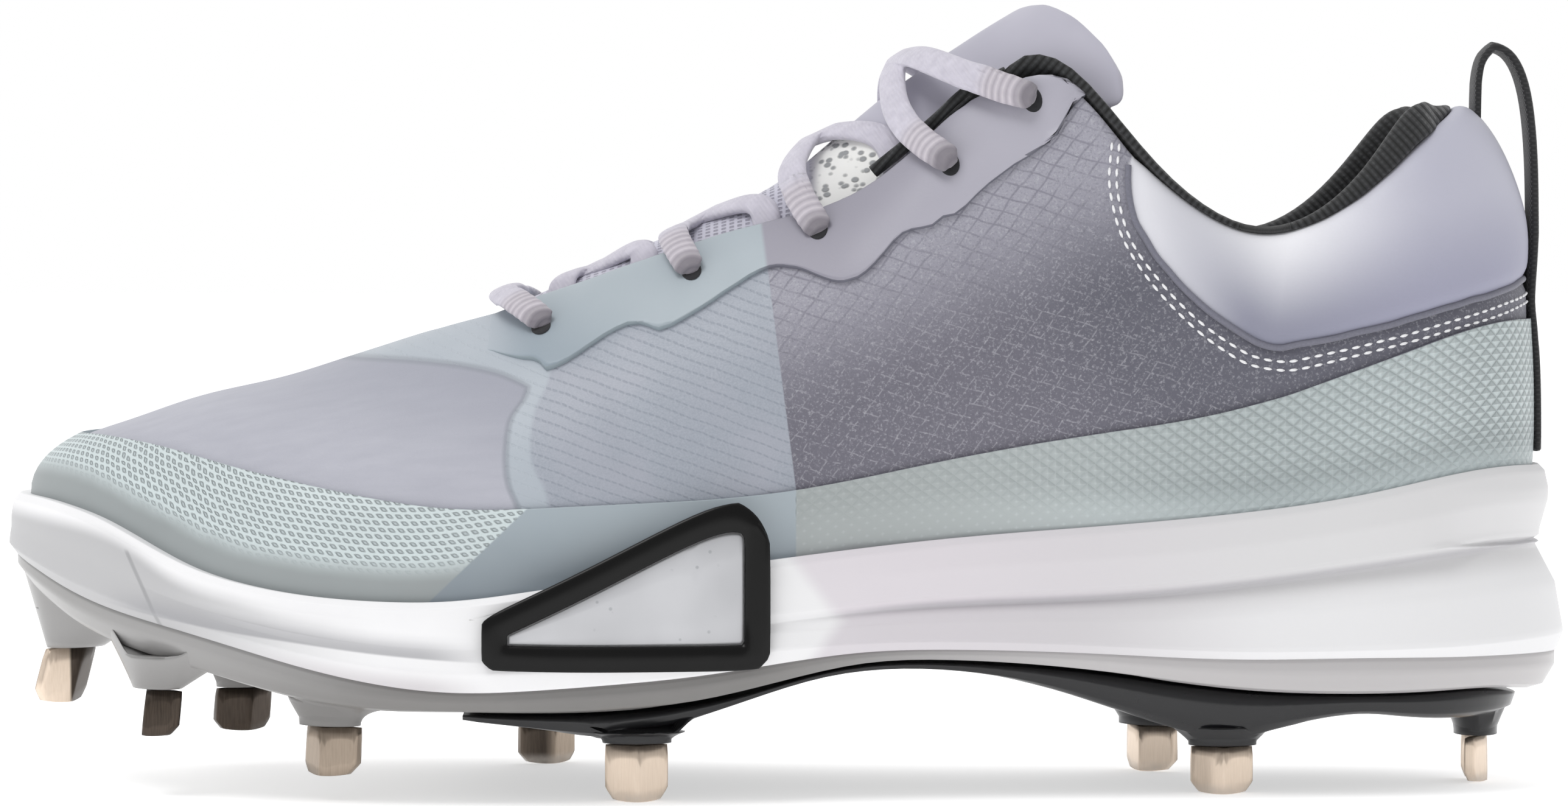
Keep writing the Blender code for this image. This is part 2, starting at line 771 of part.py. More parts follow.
def make_lining(finish):
    """The knit roll on the opening's edge and the lining that hangs from it inside the collar."""
    first = round(LINING_END * SIDE_RIBS)
    sections = []
    for i in range(-first, first + 1):
        around = i / SIDE_RIBS
        top = wall_top(around)
        wall = wall_at(around, top)
        under = top + 2 * CLEARANCE / np.linalg.norm(top_point(around) - rim_point(around))
        back = wall + 3 * CLEARANCE
        inside = back + LINING_THICKNESS
        low = top - LINING_DROP
        sections.append(
            [
                skin(around, under, 0.12 * wall),
                skin(around, 0.5 * (under + 1), 0.02 * wall),
                skin(around, 1, 0.25 * wall),
                skin(around, 1, 0.75 * wall),
                skin(around, 0.4 * under + 0.6, inside),
                skin(around, low, inside),
                skin(around, low, back),
                skin(around, top - 0.05, back),
                skin(around, under, back),
            ]
        )
    return swept("collar_lining", sections, finish)


def under_wall(around, height):
    """A point on the inside of the upper and its lining, clear of both."""
    distance, _ = side_of(around)
    depth = wall_at(around, min(height, wall_top(around))) + 3 * CLEARANCE
    beside_lining = min(1.0, max(0.0, (LINING_END + 0.12 - distance) / 0.06))
    depth += beside_lining * (LINING_THICKNESS + 5 * CLEARANCE)
    if height <= 1:
        return skin(around, height, depth)
    edge = skin(around, 1, depth)
    way = edge - skin(around, 0.95, depth)
    chord = np.linalg.norm(top_point(around) - rim_point(around))
    return edge + way / np.linalg.norm(way) * chord * (height - 1)


def tongue_section(share):
    """The tongue's face across one station, from its outer to its inner edge."""
    value = {name: float(tongue[name](share)) for name in TONGUE_COLUMNS[1:-1]}
    centre_y = BALL_WIDTH * float(sole["centre"](value["along"]))
    middle = np.array([x_at(value["along"]), centre_y, COLLAR_HEIGHT * value["height"]])
    around = float(tongue_around(share))
    sides = []
    for side in (around, -around):
        edge = under_wall(side, value["edge"])
        lip = under_wall(side, value["lip"])
        sides.append((edge, (edge + lip) / 2, lip))
    outer, inner = sides
    pull = 2 * middle - (outer[2] + inner[2]) / 2
    arch = []
    for t in (0.14, 0.32, 0.5, 0.68, 0.86):
        arch.append(outer[2] * (1 - t) ** 2 + 2 * pull * t * (1 - t) + inner[2] * t**2)
    return [*outer, *arch, *inner[::-1]]


def make_tongue(finish):
    """The padded tongue under the laces, its sides tucked under the eyestay."""
    stations = [i / TONGUE_STATIONS for i in range(TONGUE_STATIONS + 1)]
    face = np.array([tongue_section(s) for s in stations])
    along = np.gradient(face, axis=0)
    across = np.gradient(face, axis=1)
    under = np.cross(along, across)
    under /= np.linalg.norm(under, axis=2)[:, :, None]
    if under[TONGUE_STATIONS // 2, 5][2] > 0:
        under = -under
    back = face.copy()
    edges = (0.45, 0.8, 0.95, 1, 1, 1, 1, 1, 0.95, 0.8, 0.45)
    for r, s in enumerate(stations):
        for c, edge in enumerate(edges):
            back[r, c] += under[r, c] * TONGUE_THICKNESS * float(tongue["thick"](s)) * edge
    return grid_solid("tongue", list(face), list(back), finish)


def plate_arounds():
    """The ribs of the black plate: round the heel, and up both sides as far as the ball."""
    side = [PLATE_RIB * i for i in range(round(PLATE_FRONT / PLATE_RIB) + 1)]
    return side + [-a for a in side[:0:-1]]


def under_height(share, on_plate):
    """The height of the face that a stud's boss grows from."""
    if on_plate:
        return RIM_HEIGHT * float(plate_under(share))
    return RIM_HEIGHT * float(sole["low"](share))


def stud_frame(row):
    """The stud's place, its turn about the upright, and the heights of its top and tip."""
    value = dict(zip(STUD_COLUMNS, row))
    x, y = x_at(value["along"]), BALL_WIDTH * value["aside"]
    tip = STUD_HEIGHT * value["tip"]
    return x, y, math.radians(value["turn"]), tip + STUD_HEIGHT * value["tall"], tip


def make_boss(row, number):
    """A tapered foot of the plate that carries one stud."""
    x, y, turn, top, _ = stud_frame(row)
    on_plate = row[STUD_COLUMNS.index("plate")] == 1
    root = under_height(0.5 - x / LENGTH, on_plate) + BOSS_ROOT
    sections = []
    for height, size in ((top + CLEARANCE, 0.62), (top + CLEARANCE + 1.2 * MM, 0.72), (root, 1.0)):
        loop = []
        for i in range(BOSS_SIDES):
            angle = 2 * math.pi * i / BOSS_SIDES
            long = BOSS_LENGTH * size * math.cos(angle)
            wide = BOSS_WIDTH * size * math.sin(angle)
            loop.append(
                np.array(
                    [
                        x + long * math.cos(turn) - wide * math.sin(turn),
                        y + long * math.sin(turn) + wide * math.cos(turn),
                        height,
                    ]
                )
            )
        sections.append(loop)
    return swept(f"boss_{number}", sections, None)


def make_stud(row, number, finish):
    """A folded steel blade with rounded lower corners."""
    x, y, turn, top, tip = stud_frame(row)
    lean = math.radians(row[STUD_COLUMNS.index("lean")])
    fold = math.radians(STUD_FOLD)
    sections = []
    for across, lift in ((-0.5, 0.24), (-0.38, 0.04), (-0.2, 0), (0, 0), (0.2, 0), (0.38, 0.04), (0.5, 0.24)):
        long = STUD_WIDTH * across
        back = abs(long) * math.sin(fold) - 0.5 * STUD_WIDTH * 0.5 * math.sin(fold)
        long *= math.cos(fold)
        loop = []
        for height, depth in ((tip + lift * (top - tip), 0), (top, 0), (top, 1), (tip + lift * (top - tip), 1)):
            wide = back + STUD_THICKNESS * (depth - 0.5) / math.cos(fold)
            forward = (top - height) * math.tan(lean)
            loop.append(
                np.array(
                    [
                        x + long * math.cos(turn) - wide * math.sin(turn) - forward,
                        y + long * math.sin(turn) + wide * math.cos(turn),
                        height,
                    ]
                )
            )
        sections.append(loop)
    return swept(f"stud_{number}", sections, finish)


def make_traction_plate(finish):
    """The black plate under the foot from the ball to the heel."""

    def loop(inset, share):
        points = []
        for a in plate_arounds():
            at = outline_point(a)[1]
            high = RIM_HEIGHT * float(sole["low"](at)) - 3 * CLEARANCE
            low = RIM_HEIGHT * float(plate_under(at))
            points.append(sole_point(a, inset, high * (1 - share) + min(low, high - 1.2 * MM) * share))
        return points

    rows = [
        loop(PLATE_INSET + 3 * MM, 1.0),
        loop(PLATE_INSET + 0.8 * MM, 0.75),
        loop(PLATE_INSET, 0.0),
    ]
    plate = capped_rings("traction_plate", rows, finish)
    for number, row in enumerate(STUDS, 1):
        if row[STUD_COLUMNS.index("plate")] == 1:
            joined(plate, make_boss(row, number))
    return plate


def window_loop(border, depth):
    """The window's outline on the sole's outer side, this far inside its edge and off the wall."""
    along = window["along"]
    first, last = along[0], along[-1]
    middle = (first + last) / 2
    squeeze = 1 - 2 * border / (LENGTH * (first - last))
    lower, upper = [], []
    for share in along:
        at = middle + (share - middle) * squeeze
        low = RIM_HEIGHT * float(np.interp(-at, -along, window["low"])) + border
        high = RIM_HEIGHT * float(np.interp(-at, -along, window["high"])) - 1.12 * border
        around = math.acos(1 - 2 * at) / math.pi
        lower.append(sole_point(around, -depth, low))
        upper.append(sole_point(around, -depth, max(high, low + 1 * MM)))
    return lower + upper[::-1]


def make_window_frame(finish):
    """The dark frame of the side window."""
    back = CLEARANCE
    rows = [
        window_loop(0, back),
        window_loop(0, 0.7 * WINDOW_THICKNESS),
        window_loop(0.8 * MM, WINDOW_THICKNESS),
        window_loop(WINDOW_BORDER - 0.8 * MM, WINDOW_THICKNESS),
        window_loop(WINDOW_BORDER, 0.7 * WINDOW_THICKNESS),
        window_loop(WINDOW_BORDER, back),
    ]
    return hollow_rings("window_frame", rows, finish)


def make_window_pane(finish):
    """The plain pane inside the frame."""
    inside = WINDOW_BORDER + CLEARANCE
    rows = [window_loop(inside, CLEARANCE), window_loop(inside, 0.5 * WINDOW_THICKNESS)]
    return capped_rings("window_pane", rows, finish)


def make_wing(finish):
    """The rise of the foam behind the window."""
    sections = []
    for share in np.linspace(WINDOW[0][0] - 0.006, WINDOW[-1][0] + 0.004, 12):
        around = math.acos(1 - 2 * share) / math.pi
        high = RIM_HEIGHT * float(np.interp(-share, -window["along"], window["high"])) - 0.8 * MM
        rim = sole_height(around, "rim")
        high = max(high, rim - 2 * MM)
        outer = 0.9 * MM
        inner = lip_width(around) - RAND_THICKNESS - 3 * CLEARANCE
        sections.append(
            [
                sole_point(around, outer, rim - WING_DEPTH),
                sole_point(around, outer, high - 1 * MM),
                sole_point(around, outer + 0.8 * MM, high),
                sole_point(around, inner, high),
                sole_point(around, inner, rim - WING_DEPTH),
            ]
        )
    return swept("wing", sections, finish)


def ribbon(name, path, sides, width, thickness, finish):
    """A flat band with rounded edges along a path. The sides are its width directions."""
    path = np.array(path)
    along = np.gradient(path, axis=0)
    sections = []
    for point, way, side in zip(path, along, sides):
        way = way / np.linalg.norm(way)
        side = side - way * np.dot(side, way)
        side = side / np.linalg.norm(side)
        off = np.cross(way, side)
        loop = []
        for w, t in ((-0.5, -0.2), (-0.3, -0.5), (0.3, -0.5), (0.5, -0.2), (0.5, 0.2), (0.3, 0.5), (-0.3, 0.5), (-0.5, 0.2)):
            loop.append(point + side * width * w + off * thickness * t)
        sections.append(loop)
    return swept(name, sections, finish)


def make_pull_loop(finish):
    """The webbing loop behind the collar and its tail down the heel to the midsole."""
    path = [np.array([x_at(a), 0, COLLAR_HEIGHT * h]) for a, h in LOOP]
    lands = float(rand_height(0))
    for height in (LOOP_LANDING, lands + 0.08, lands + 0.01, lands / 2, 0.035):
        off = 2 * CLEARANCE + LOOP_THICKNESS / 2
        if height < lands + 0.05:
            off += RAND_THICKNESS + CLEARANCE
        path.append(skin(0, height, -off))
    sides = [np.array([0, 1, 0])] * len(path)
    return ribbon("pull_loop", path, sides, LOOP_WIDTH, LOOP_THICKNESS, finish)


def edge_rib(x):
    """The rib whose end on the throat's edge lies at this length coordinate."""
    ribs = np.linspace(0.4, 1, 61)
    ends = [-top_point(a)[0] for a in ribs]
    return float(np.interp(-x, ends, ribs))


def lace_end(hole, side, on_top, middle_x, shift):
    """Where a strand stops, on a hole or under the throat's edge, and its next point, with normals."""
    around, height = HOLES[hole]
    lift = EYESTAY_GAP + EYESTAY_THICKNESS + LACE_THICKNESS / 2 + 2 * CLEARANCE
    seat = skin(side * around, height, -lift)
    if on_top:
        edge = side * edge_rib((2 * seat[0] + middle_x) / 3)
        crossing = skin(edge, 0.97, -lift - 2 * CLEARANCE)
        return (seat, skin_normal(side * around, height)), (crossing, skin_normal(edge, 0.97))
    around = side * edge_rib(seat[0] + shift)
    edge = skin(around, 1, 0)
    inward = np.array([0, -np.sign(edge[1]), 0.3])
    normal = skin_normal(around, 1)
    rise = np.array([0, 0, EXIT_RISE])
    return (edge + inward * LACE_EXIT, normal), (edge + inward * 1.8 * LACE_EXIT + rise, normal)


def lace_strand(name, low, middle, high, finish):
    """One strand from its lower hole over the throat's edge, the middle and the other edge."""
    slope = high[0][0] - low[0][0]
    ridge = np.array([-0.5 * slope[0] / np.linalg.norm(slope) - 0.4, 0, 1])
    stops = [low[0], low[1], (middle, ridge), high[1], high[0]]
    places = np.array([stop[0] for stop in stops])
    normals = np.array([stop[1] / np.linalg.norm(stop[1]) for stop in stops])
    spans = np.linalg.norm(np.diff(places, axis=0), axis=1)
    knots = np.concatenate([[0], np.cumsum(spans)]) / sum(spans)
    axes = [curve_through(knots, places[:, i]) for i in range(3)]
    path, ups = [], []
    for t in np.linspace(0, 1, LACE_STATIONS):
        path.append(np.array([float(axis(t)) for axis in axes]))
        ups.append(np.array([np.interp(t, knots, normals[:, i]) for i in range(3)]))
    ways = np.gradient(np.array(path), axis=0)
    sides = [np.cross(way, up) for way, up in zip(ways, ups)]
    return ribbon(name, path, sides, LACE_WIDTH, LACE_THICKNESS, finish)


def make_laces(finish):
    """The straight bar at the toe and the crossings above it, each a joined solid."""
    for number, row in enumerate(CROSSINGS):
        value = dict(zip(CROSSING_COLUMNS, row))
        centre = BALL_WIDTH * float(sole["centre"](value["along"]))
        middle = np.array([x_at(value["along"]), centre, COLLAR_HEIGHT * value["height"]])
        strands = []
        for side in (-1, 1) if number else (-1,):
            low = lace_end(value["low_hole"], side, value["low_on_top"], middle[0], LOW_EXIT)
            high = lace_end(value["high_hole"], -side, value["high_on_top"], middle[0], HIGH_EXIT)
            name = f"lace_cross_{number}" if side == -1 else f"lace_strand_{number}"
            strands.append(lace_strand(name if number else "lace_bar", low, middle, high, finish))
        if number:
            joined(*strands)


def clear_scene():
    for item in list(bpy.data.objects):
        bpy.data.objects.remove(item)


def main():
    clear_scene()
    knit = finish_of("upper_fabric", (0.42, 0.41, 0.47), 0.75)
    film = finish_of("rand_film", (0.50, 0.56, 0.56), 0.5)
    foam = finish_of("white_foam", (0.88, 0.88, 0.90), 0.45)
    shell = finish_of("pale_plastic", (0.80, 0.79, 0.81), 0.35)
    cloth = finish_of("black_knit", (0.05, 0.05, 0.055), 0.85)
    black = finish_of("black_plastic", (0.03, 0.03, 0.035), 0.25)
    silver = finish_of("window_plastic", (0.62, 0.63, 0.66), 0.35)
    steel = finish_of("stud_steel", (0.66, 0.62, 0.57), 0.3, 1.0)
    overlay = finish_of("eyestay_film", (0.45, 0.44, 0.50), 0.5)
    lace = finish_of("lace_cord", (0.50, 0.48, 0.55), 0.8)
    webbing = finish_of("loop_webbing", (0.10, 0.10, 0.11), 0.7)
    make_upper(knit)
    make_rand(film)
    make_eyestay(overlay)
    make_lining(cloth)
    make_tongue(knit)
    make_insole(cloth)
    make_midsole(foam)
    make_sole_frame(shell)
    make_traction_plate(black)
    for number, row in enumerate(STUDS, 1):
        make_stud(row, number, steel)
    make_window_frame(black)
    make_window_pane(silver)
    make_pull_loop(webbing)
    make_laces(lace)


main()
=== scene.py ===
# %% [markdown]
# # A baseball cleat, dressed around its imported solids
# The CAD model gives every piece its place and size. This lesson copies those solids, makes
# them smooth and soft where the real shoe is, and gives each its own procedural finish.
# The toe points along -X, the side that faces the viewer along -Y, and Z is up, in metres.

# %% Load the fixed frame
import math

import bmesh
import bpy
import numpy as np
from mathutils import Matrix, Vector
from mathutils.bvhtree import BVHTree


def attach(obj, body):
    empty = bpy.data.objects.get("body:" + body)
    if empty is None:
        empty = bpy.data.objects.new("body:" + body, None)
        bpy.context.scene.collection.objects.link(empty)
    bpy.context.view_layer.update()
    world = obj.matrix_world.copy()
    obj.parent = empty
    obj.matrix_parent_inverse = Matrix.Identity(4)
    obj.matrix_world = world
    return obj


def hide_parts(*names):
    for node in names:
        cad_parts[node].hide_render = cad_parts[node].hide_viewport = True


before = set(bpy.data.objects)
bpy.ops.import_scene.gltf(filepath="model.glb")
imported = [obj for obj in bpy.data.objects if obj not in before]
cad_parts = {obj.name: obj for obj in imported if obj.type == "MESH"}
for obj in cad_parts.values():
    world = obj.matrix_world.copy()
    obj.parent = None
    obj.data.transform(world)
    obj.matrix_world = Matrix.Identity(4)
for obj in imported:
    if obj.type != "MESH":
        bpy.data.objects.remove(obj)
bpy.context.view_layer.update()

MM = 0.001

# %% [markdown]
# ## Camera
# The picture was taken from about a metre away with a long lens, level with the shoe. A camera
# could be turned by hand until it fits, but aiming it at a point is easier to read and to change.


# %% Aim the camera
def linked(name, data):
    """A new object of the scene, with that data."""
    made = bpy.data.objects.new(name, data)
    bpy.context.scene.collection.objects.link(made)
    return made


def aim(thing, place, target):
    """Stands a camera or a lamp at a place and turns it to a target."""
    thing.location = place
    thing.rotation_euler = (Vector(target) - Vector(place)).to_track_quat("-Z", "Y").to_euler()


camera_data = bpy.data.cameras.new("photo_camera")
camera_data.lens, camera_data.sensor_width = 121.4, 36
camera = linked("photo_camera", camera_data)
aim(camera, (0, -1.0, 0.100), (0, 0, 0.0716))
bpy.context.scene.camera = camera
print("camera at", tuple(round(v, 3) for v in camera.location))

# %% [markdown]
# ## Shader maths in plain Python
# A material is a graph of nodes. Wiring each Math node by hand hides the idea, so one small
# class wraps a socket and overloads the operators: `1 - mask * 0.5` adds the nodes by itself.


# %% One wire of a material
class Wire:
    """A socket's value, in expressions that add their own Math nodes."""

    def __init__(self, finish, socket):
        self.finish, self.socket = finish, socket

    def math(self, operation, *others, swapped=False):
        inputs = (*others, self) if swapped else (self, *others)
        return self.finish.node("ShaderNodeMath", {"operation": operation}, dict(enumerate(inputs)))

    def __add__(self, other):
        return self.math("ADD", other)

    def __mul__(self, other):
        return self.math("MULTIPLY", other)

    def __sub__(self, other):
        return self.math("SUBTRACT", other)

    def __rsub__(self, other):
        return self.math("SUBTRACT", other, swapped=True)

    def __truediv__(self, other):
        return self.math("DIVIDE", other)

    __radd__, __rmul__ = __add__, __mul__

    def step(self, low, high):
        """0 below low and 1 above high, smooth between them; falling where high is below low."""
        ends = {1: low, 2: high, 3: 0.0, 4: 1.0}
        return self.finish.node("ShaderNodeMapRange", {"interpolation_type": "SMOOTHSTEP"}, {0: self, **ends})

    def wave(self, pitch):
        """A triangle wave: 0 on each multiple of pitch and 1 halfway between."""
        return self.math("PINGPONG", pitch / 2) * (2 / pitch)


# %% The builder of a finish
class Finish:
    """One Principled material, in object coordinates counted in millimetres."""

    def __init__(self, name, **uniform):
        self.material = bpy.data.materials.new(name)
        self.material.use_nodes = True
        self.tree = self.material.node_tree
        self.shader = next(n for n in self.tree.nodes if n.type == "BSDF_PRINCIPLED")
        for socket, value in uniform.items():
            self.shader.inputs[socket.replace("_", " ")].default_value = value

    def node(self, kind, settings, inputs, out=0):
        made = self.tree.nodes.new(kind)
        for name, value in settings.items():
            setattr(made, name, value)
        for key, value in inputs.items():
            self.feed(made.inputs[key], value)
        return Wire(self, made.outputs[out])

    def feed(self, socket, value):
        if isinstance(value, Wire):
            self.tree.links.new(value.socket, socket)
        elif hasattr(value, "__len__") and len(value) == 3 and socket.type == "RGBA":
            socket.default_value = (*value, 1)
        else:
            socket.default_value = value

    def show(self, **wires):
        for name, value in wires.items():
            self.feed(self.shader.inputs[name.replace("_", " ")], value)
        return self.material

    def place(self):
        point = self.node("ShaderNodeTexCoord", {}, {}, out=3)
        scaled = self.node("ShaderNodeVectorMath", {"operation": "SCALE"}, {0: point, 3: 1000.0})
        parts = self.node("ShaderNodeSeparateXYZ", {}, {0: scaled})
        outputs = parts.socket.node.outputs
        return scaled, *(Wire(self, outputs[i]) for i in range(3))

    def reading(self, name):
        return self.node("ShaderNodeAttribute", {"attribute_name": name}, {}, out=2)

    def stretched(self, vector, x, y, z):
        return self.node("ShaderNodeVectorMath", {"operation": "MULTIPLY"}, {0: vector, 1: (x, y, z)})

    def noise(self, vector, size, detail=2.0, rough=0.5):
        sockets = {"Vector": vector, "Scale": 1.0 / size, "Detail": detail, "Roughness": rough}
        return self.node("ShaderNodeTexNoise", {}, sockets)

    def cells(self, vector, size):
        return self.node("ShaderNodeTexVoronoi", {}, {"Vector": vector, "Scale": 1.0 / size})

    def mix(self, mask, first, second):
        return self.node("ShaderNodeMix", {"data_type": "RGBA"}, {0: mask, 6: first, 7: second}, out=2)

    def curve(self, value, points):
        """A smooth line through (input, output) points."""
        low, high = points[0][0], points[-1][0]
        least, most = min(p[1] for p in points), max(p[1] for p in points)
        share = (value - low) / (high - low)
        made = self.node("ShaderNodeFloatCurve", {}, {1: share})
        line = made.socket.node.mapping.curves[0]
        for index, (at, out) in enumerate(points):
            spot = ((at - low) / (high - low), (out - least) / (most - least))
            if index in (0, len(points) - 1):
                line.points[0 if index == 0 else -1].location = spot
            else:
                line.points.new(*spot)
        made.socket.node.mapping.update()
        return made * (most - least) + least

    def bump(self, height, depth, strength=1.0):
        """depth is the real depth in millimetres of a height that runs from 0 to 1."""
        sockets = {"Strength": strength, "Distance": depth * MM, "Height": height}
        return self.node("ShaderNodeBump", {}, sockets)


print("shader helpers ready")

# %% [markdown]
# ## Lines along the shoe
# Seams, stitches and creases follow lines drawn on the side of the shoe. A line is a few points
# in millimetres, passed through a smooth curve, and dropped onto the fabric from outside.

# %% Line helpers
SPINE_HEIGHT = 66
HEEL_CENTRE, TOE_CENTRE = 88, -95
OUTSIDE = 0.3  # metres from the centre line: a start that lies outside the shoe


def ramp(values, start, width):
    """0 up to start, then evenly to 1 over width, or downwards where width is negative."""
    return np.clip((values - start) / width, 0, 1)


def fall(gap, width):
    """1 where the gap is 0, fading smoothly over a width."""
    return np.exp(-((gap / width) ** 2))


def run_along(line):
    """The distance from a line's start to each of its points."""
    return np.concatenate([[0], np.cumsum(np.linalg.norm(np.diff(line, axis=0), axis=1))])


def smooth_line(points, count):
    """count points on a Catmull-Rom curve through the given ones, evenly spaced."""
    points = np.asarray(points, float)
    padded = np.vstack([2 * points[0] - points[1], points, 2 * points[-1] - points[-2]])
    t = np.linspace(0, 1, 16, endpoint=False)[:, None]
    parts = []
    for a, b, c, d in zip(padded[:-3], padded[1:-2], padded[2:-1], padded[3:]):
        bend, twist = 2 * a - 5 * b + 4 * c - d, 3 * b - a - 3 * c + d
        parts.append(0.5 * (2 * b + (c - a) * t + bend * t**2 + twist * t**3))
    fine = np.vstack([*parts, points[-1:]])
    run = run_along(fine)
    even = np.linspace(0, run[-1], count)
    return np.stack([np.interp(even, run, fine[:, i]) for i in range(fine.shape[1])], 1)


def outward_of(points):
    """The direction away from the foot's own centre line, at each point."""
    centre = np.stack([
        np.clip(points[:, 0], TOE_CENTRE, HEEL_CENTRE),
        np.zeros(len(points)),
        np.full(len(points), SPINE_HEIGHT),
    ], 1)
    away = points - centre
    return away / np.maximum(np.linalg.norm(away, axis=1, keepdims=True), 1e-6)


def nearest_on_line(points, line):
    """For each point, the nearest place on a line: its index, its distance and its offset."""
    starts, steps = line[:-1], np.diff(line, axis=0)
    lengths = np.maximum((steps**2).sum(1), 1e-9)
    best = np.full(len(points), 1e9)
    index, offset = np.zeros(len(points), int), np.zeros((len(points), line.shape[1]))
    for i, (start, step, length) in enumerate(zip(starts, steps, lengths)):
        share = np.clip(((points - start) @ step) / length, 0, 1)
        gap = points - start - share[:, None] * step
        far = np.linalg.norm(gap, axis=1)
        closer = far < best
        best[closer], index[closer], offset[closer] = far[closer], i, gap[closer]
    return index, best, offset


def skin_tree(piece):
    mesh = bmesh.new()
    mesh.from_mesh(piece.data)
    tree = BVHTree.FromBMesh(mesh)
    mesh.free()
    return tree


def nearest(tree, spot):
    """The nearest point of a skin, in millimetres, and its normal."""
    near, normal, _, _ = tree.find_nearest(Vector(spot) * MM)
    return np.array(near) / MM, np.array(normal)


def drop_on(tree, x, z, side):
    """Where a point seen from the side lies on the fabric."""
    if x > HEEL_CENTRE:
        turn = math.acos(min(1.0, (x - HEEL_CENTRE) / 60))
        way = Vector((math.cos(turn), side * math.sin(turn), 0))
    else:
        way = Vector((0, side, 0))
    start = Vector((min(x, HEEL_CENTRE), 0, z)) * MM + way * OUTSIDE
    return tree.ray_cast(start, -way)[0]


def drop_turned(tree, turn, z):
    """The fabric's point at that turn round the heel, 0 at the very back."""
    way = Vector((math.cos(turn), math.sin(turn), 0))
    return tree.ray_cast(Vector((HEEL_CENTRE, 0, z)) * MM + way * OUTSIDE, -way)[0]


print("line helpers ready")

# %% [markdown]
# ## Where the pieces wrap
# The moulded rand has a lattice that runs round the toe and heel. A pattern on plain X and Z
# would stretch there, so each vertex is told how far along the outline and how far up it lies.

# %% The outline of the foot
OUTLINE = [
    (140.9, 0), (139.5, 8.6), (135, 16.8), (127.7, 24), (117.3, 29.2), (104.4, 31.1), (87, 30.5),
    (67.5, 29.2), (45.9, 27.8), (22.8, 27.5), (-1.4, 31.2), (-24.6, 37.9), (-46.7, 43.9), (-67.3, 46.9),
    (-86.2, 47.1), (-103, 44.1), (-117.2, 38.7), (-128.6, 32), (-136.7, 24.5), (-141.5, 16.3), (-143, 6.6),
    (-141.5, -3.4), (-136.6, -12.3), (-128.2, -21.7), (-116.5, -31.4), (-102.1, -40), (-85.6, -45.7),
    (-66.8, -47.4), (-45.9, -46.9), (-23.8, -44.6), (-1, -40.5), (22.5, -36.9), (45.3, -35), (66.8, -33.9),
    (86.5, -33.1), (103.9, -32), (117.3, -29.4), (127.7, -23.9), (135, -16.8), (139.5, -8.6), (140.9, 0),
]
RIM_LINE = [
    (-143, 54.7), (-136.6, 54.3), (-128.2, 52.4), (-116.5, 47.3), (-102, 41.1), (-85.6, 38), (-66.8, 36.8),
    (-45.9, 39.1), (-23.8, 41.9), (-1, 44.6), (22.5, 47.4), (45.3, 49.3), (66.8, 50.8), (86.5, 52.8),
    (103.9, 55.3), (117.3, 58.3), (127.7, 60.2), (135, 60.6), (140.9, 60.3),
]
outline = smooth_line(OUTLINE, 400)
rim = smooth_line(RIM_LINE, 200)


def rim_height(points):
    """The foam rim's height at the place of the outline nearest each point."""
    index = nearest_on_line(points[:, :2], outline)[0]
    return np.interp(outline[index, 0], rim[:, 0], rim[:, 1])


def wrap(piece):
    """Notes on each vertex the distance round the outline and up from the rim."""
    points = points_of(piece)
    index, gap, _ = nearest_on_line(points[:, :2], outline)
    step = np.diff(outline, axis=0)[index]
    along = ((points[:, :2] - outline[index]) * step).sum(1) / (step**2).sum(1)
    around = run_along(outline)[index] + np.clip(along, 0, 1) * np.linalg.norm(step, axis=1)
    rise = points[:, 2] - np.interp(outline[index, 0], rim[:, 0], rim[:, 1])
    note(piece, "around", around)
    up = np.sign(rise) * np.hypot(rise, np.where(rise > 0, gap, 0))
    note(piece, "up", up)
    return up


def runs_along(edge):
    """Whether an edge lies along the outline, as the steps of the sole do."""
    line = np.array(edge.verts[1].co - edge.verts[0].co) / MM
    middle = np.array([(edge.verts[0].co + edge.verts[1].co) / MM / 2])[:, :2]
    step = np.diff(outline, axis=0)[nearest_on_line(middle, outline[::4])[0][0] * 4]
    return abs(line[:2] @ step) > 0.6 * np.linalg.norm(line) * np.linalg.norm(step)


print("outline length:", round(float(run_along(outline)[-1])), "mm")

# %% [markdown]
# ## Copies of the solids, made smooth
# The solids are light and faceted. A copy is merged, its triangles are joined to quads again,
# sharp edges are marked, and a Subdivision Surface rounds the rest. Sculpting each piece by hand
# would lose the measures, and a plain smooth shading would keep the angular outline.


# %% Copy and subdivide
WELD = 1e-6  # corners this near to each other, in metres, are one
QUAD_LIMITS = {"angle_face_threshold": math.radians(35), "angle_shape_threshold": math.radians(70)}


def piece_from(mesh, name):
    """The object of a bmesh, shaded smooth apart from its many-sided caps."""
    for face in mesh.faces:
        face.smooth = len(face.verts) < 5
    data = bpy.data.meshes.new(name)
    mesh.to_mesh(data)
    mesh.free()
    return linked(name, data)


def evaluated(thing):
    """The mesh that a curve or a modified piece shows."""
    return bpy.data.meshes.new_from_object(thing.evaluated_get(bpy.context.evaluated_depsgraph_get()))


def smooth_copy(node, name, levels, sharp=50, crease=0.0, rings=None):
    """A dense copy of a CAD node. Edges that turn by more than sharp degrees keep crease, and
    those that run along the shoe's outline keep it from rings degrees on."""
    mesh = bmesh.new()
    mesh.from_mesh(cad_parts[node].data)
    bmesh.ops.remove_doubles(mesh, verts=mesh.verts, dist=WELD)
    bmesh.ops.join_triangles(mesh, faces=mesh.faces, **QUAD_LIMITS)
    if crease:
        layer = mesh.edges.layers.float.new("crease_edge")
        for edge in mesh.edges:
            turn = math.degrees(edge.calc_face_angle(0))
            if turn > sharp or (rings is not None and turn > rings and runs_along(edge)):
                edge[layer] = crease
    piece = piece_from(mesh, name)
    finer = piece.modifiers.new("finer", "SUBSURF")
    finer.levels = finer.render_levels = levels
    finished = evaluated(piece)
    piece.modifiers.clear()
    piece.data = finished
    return piece


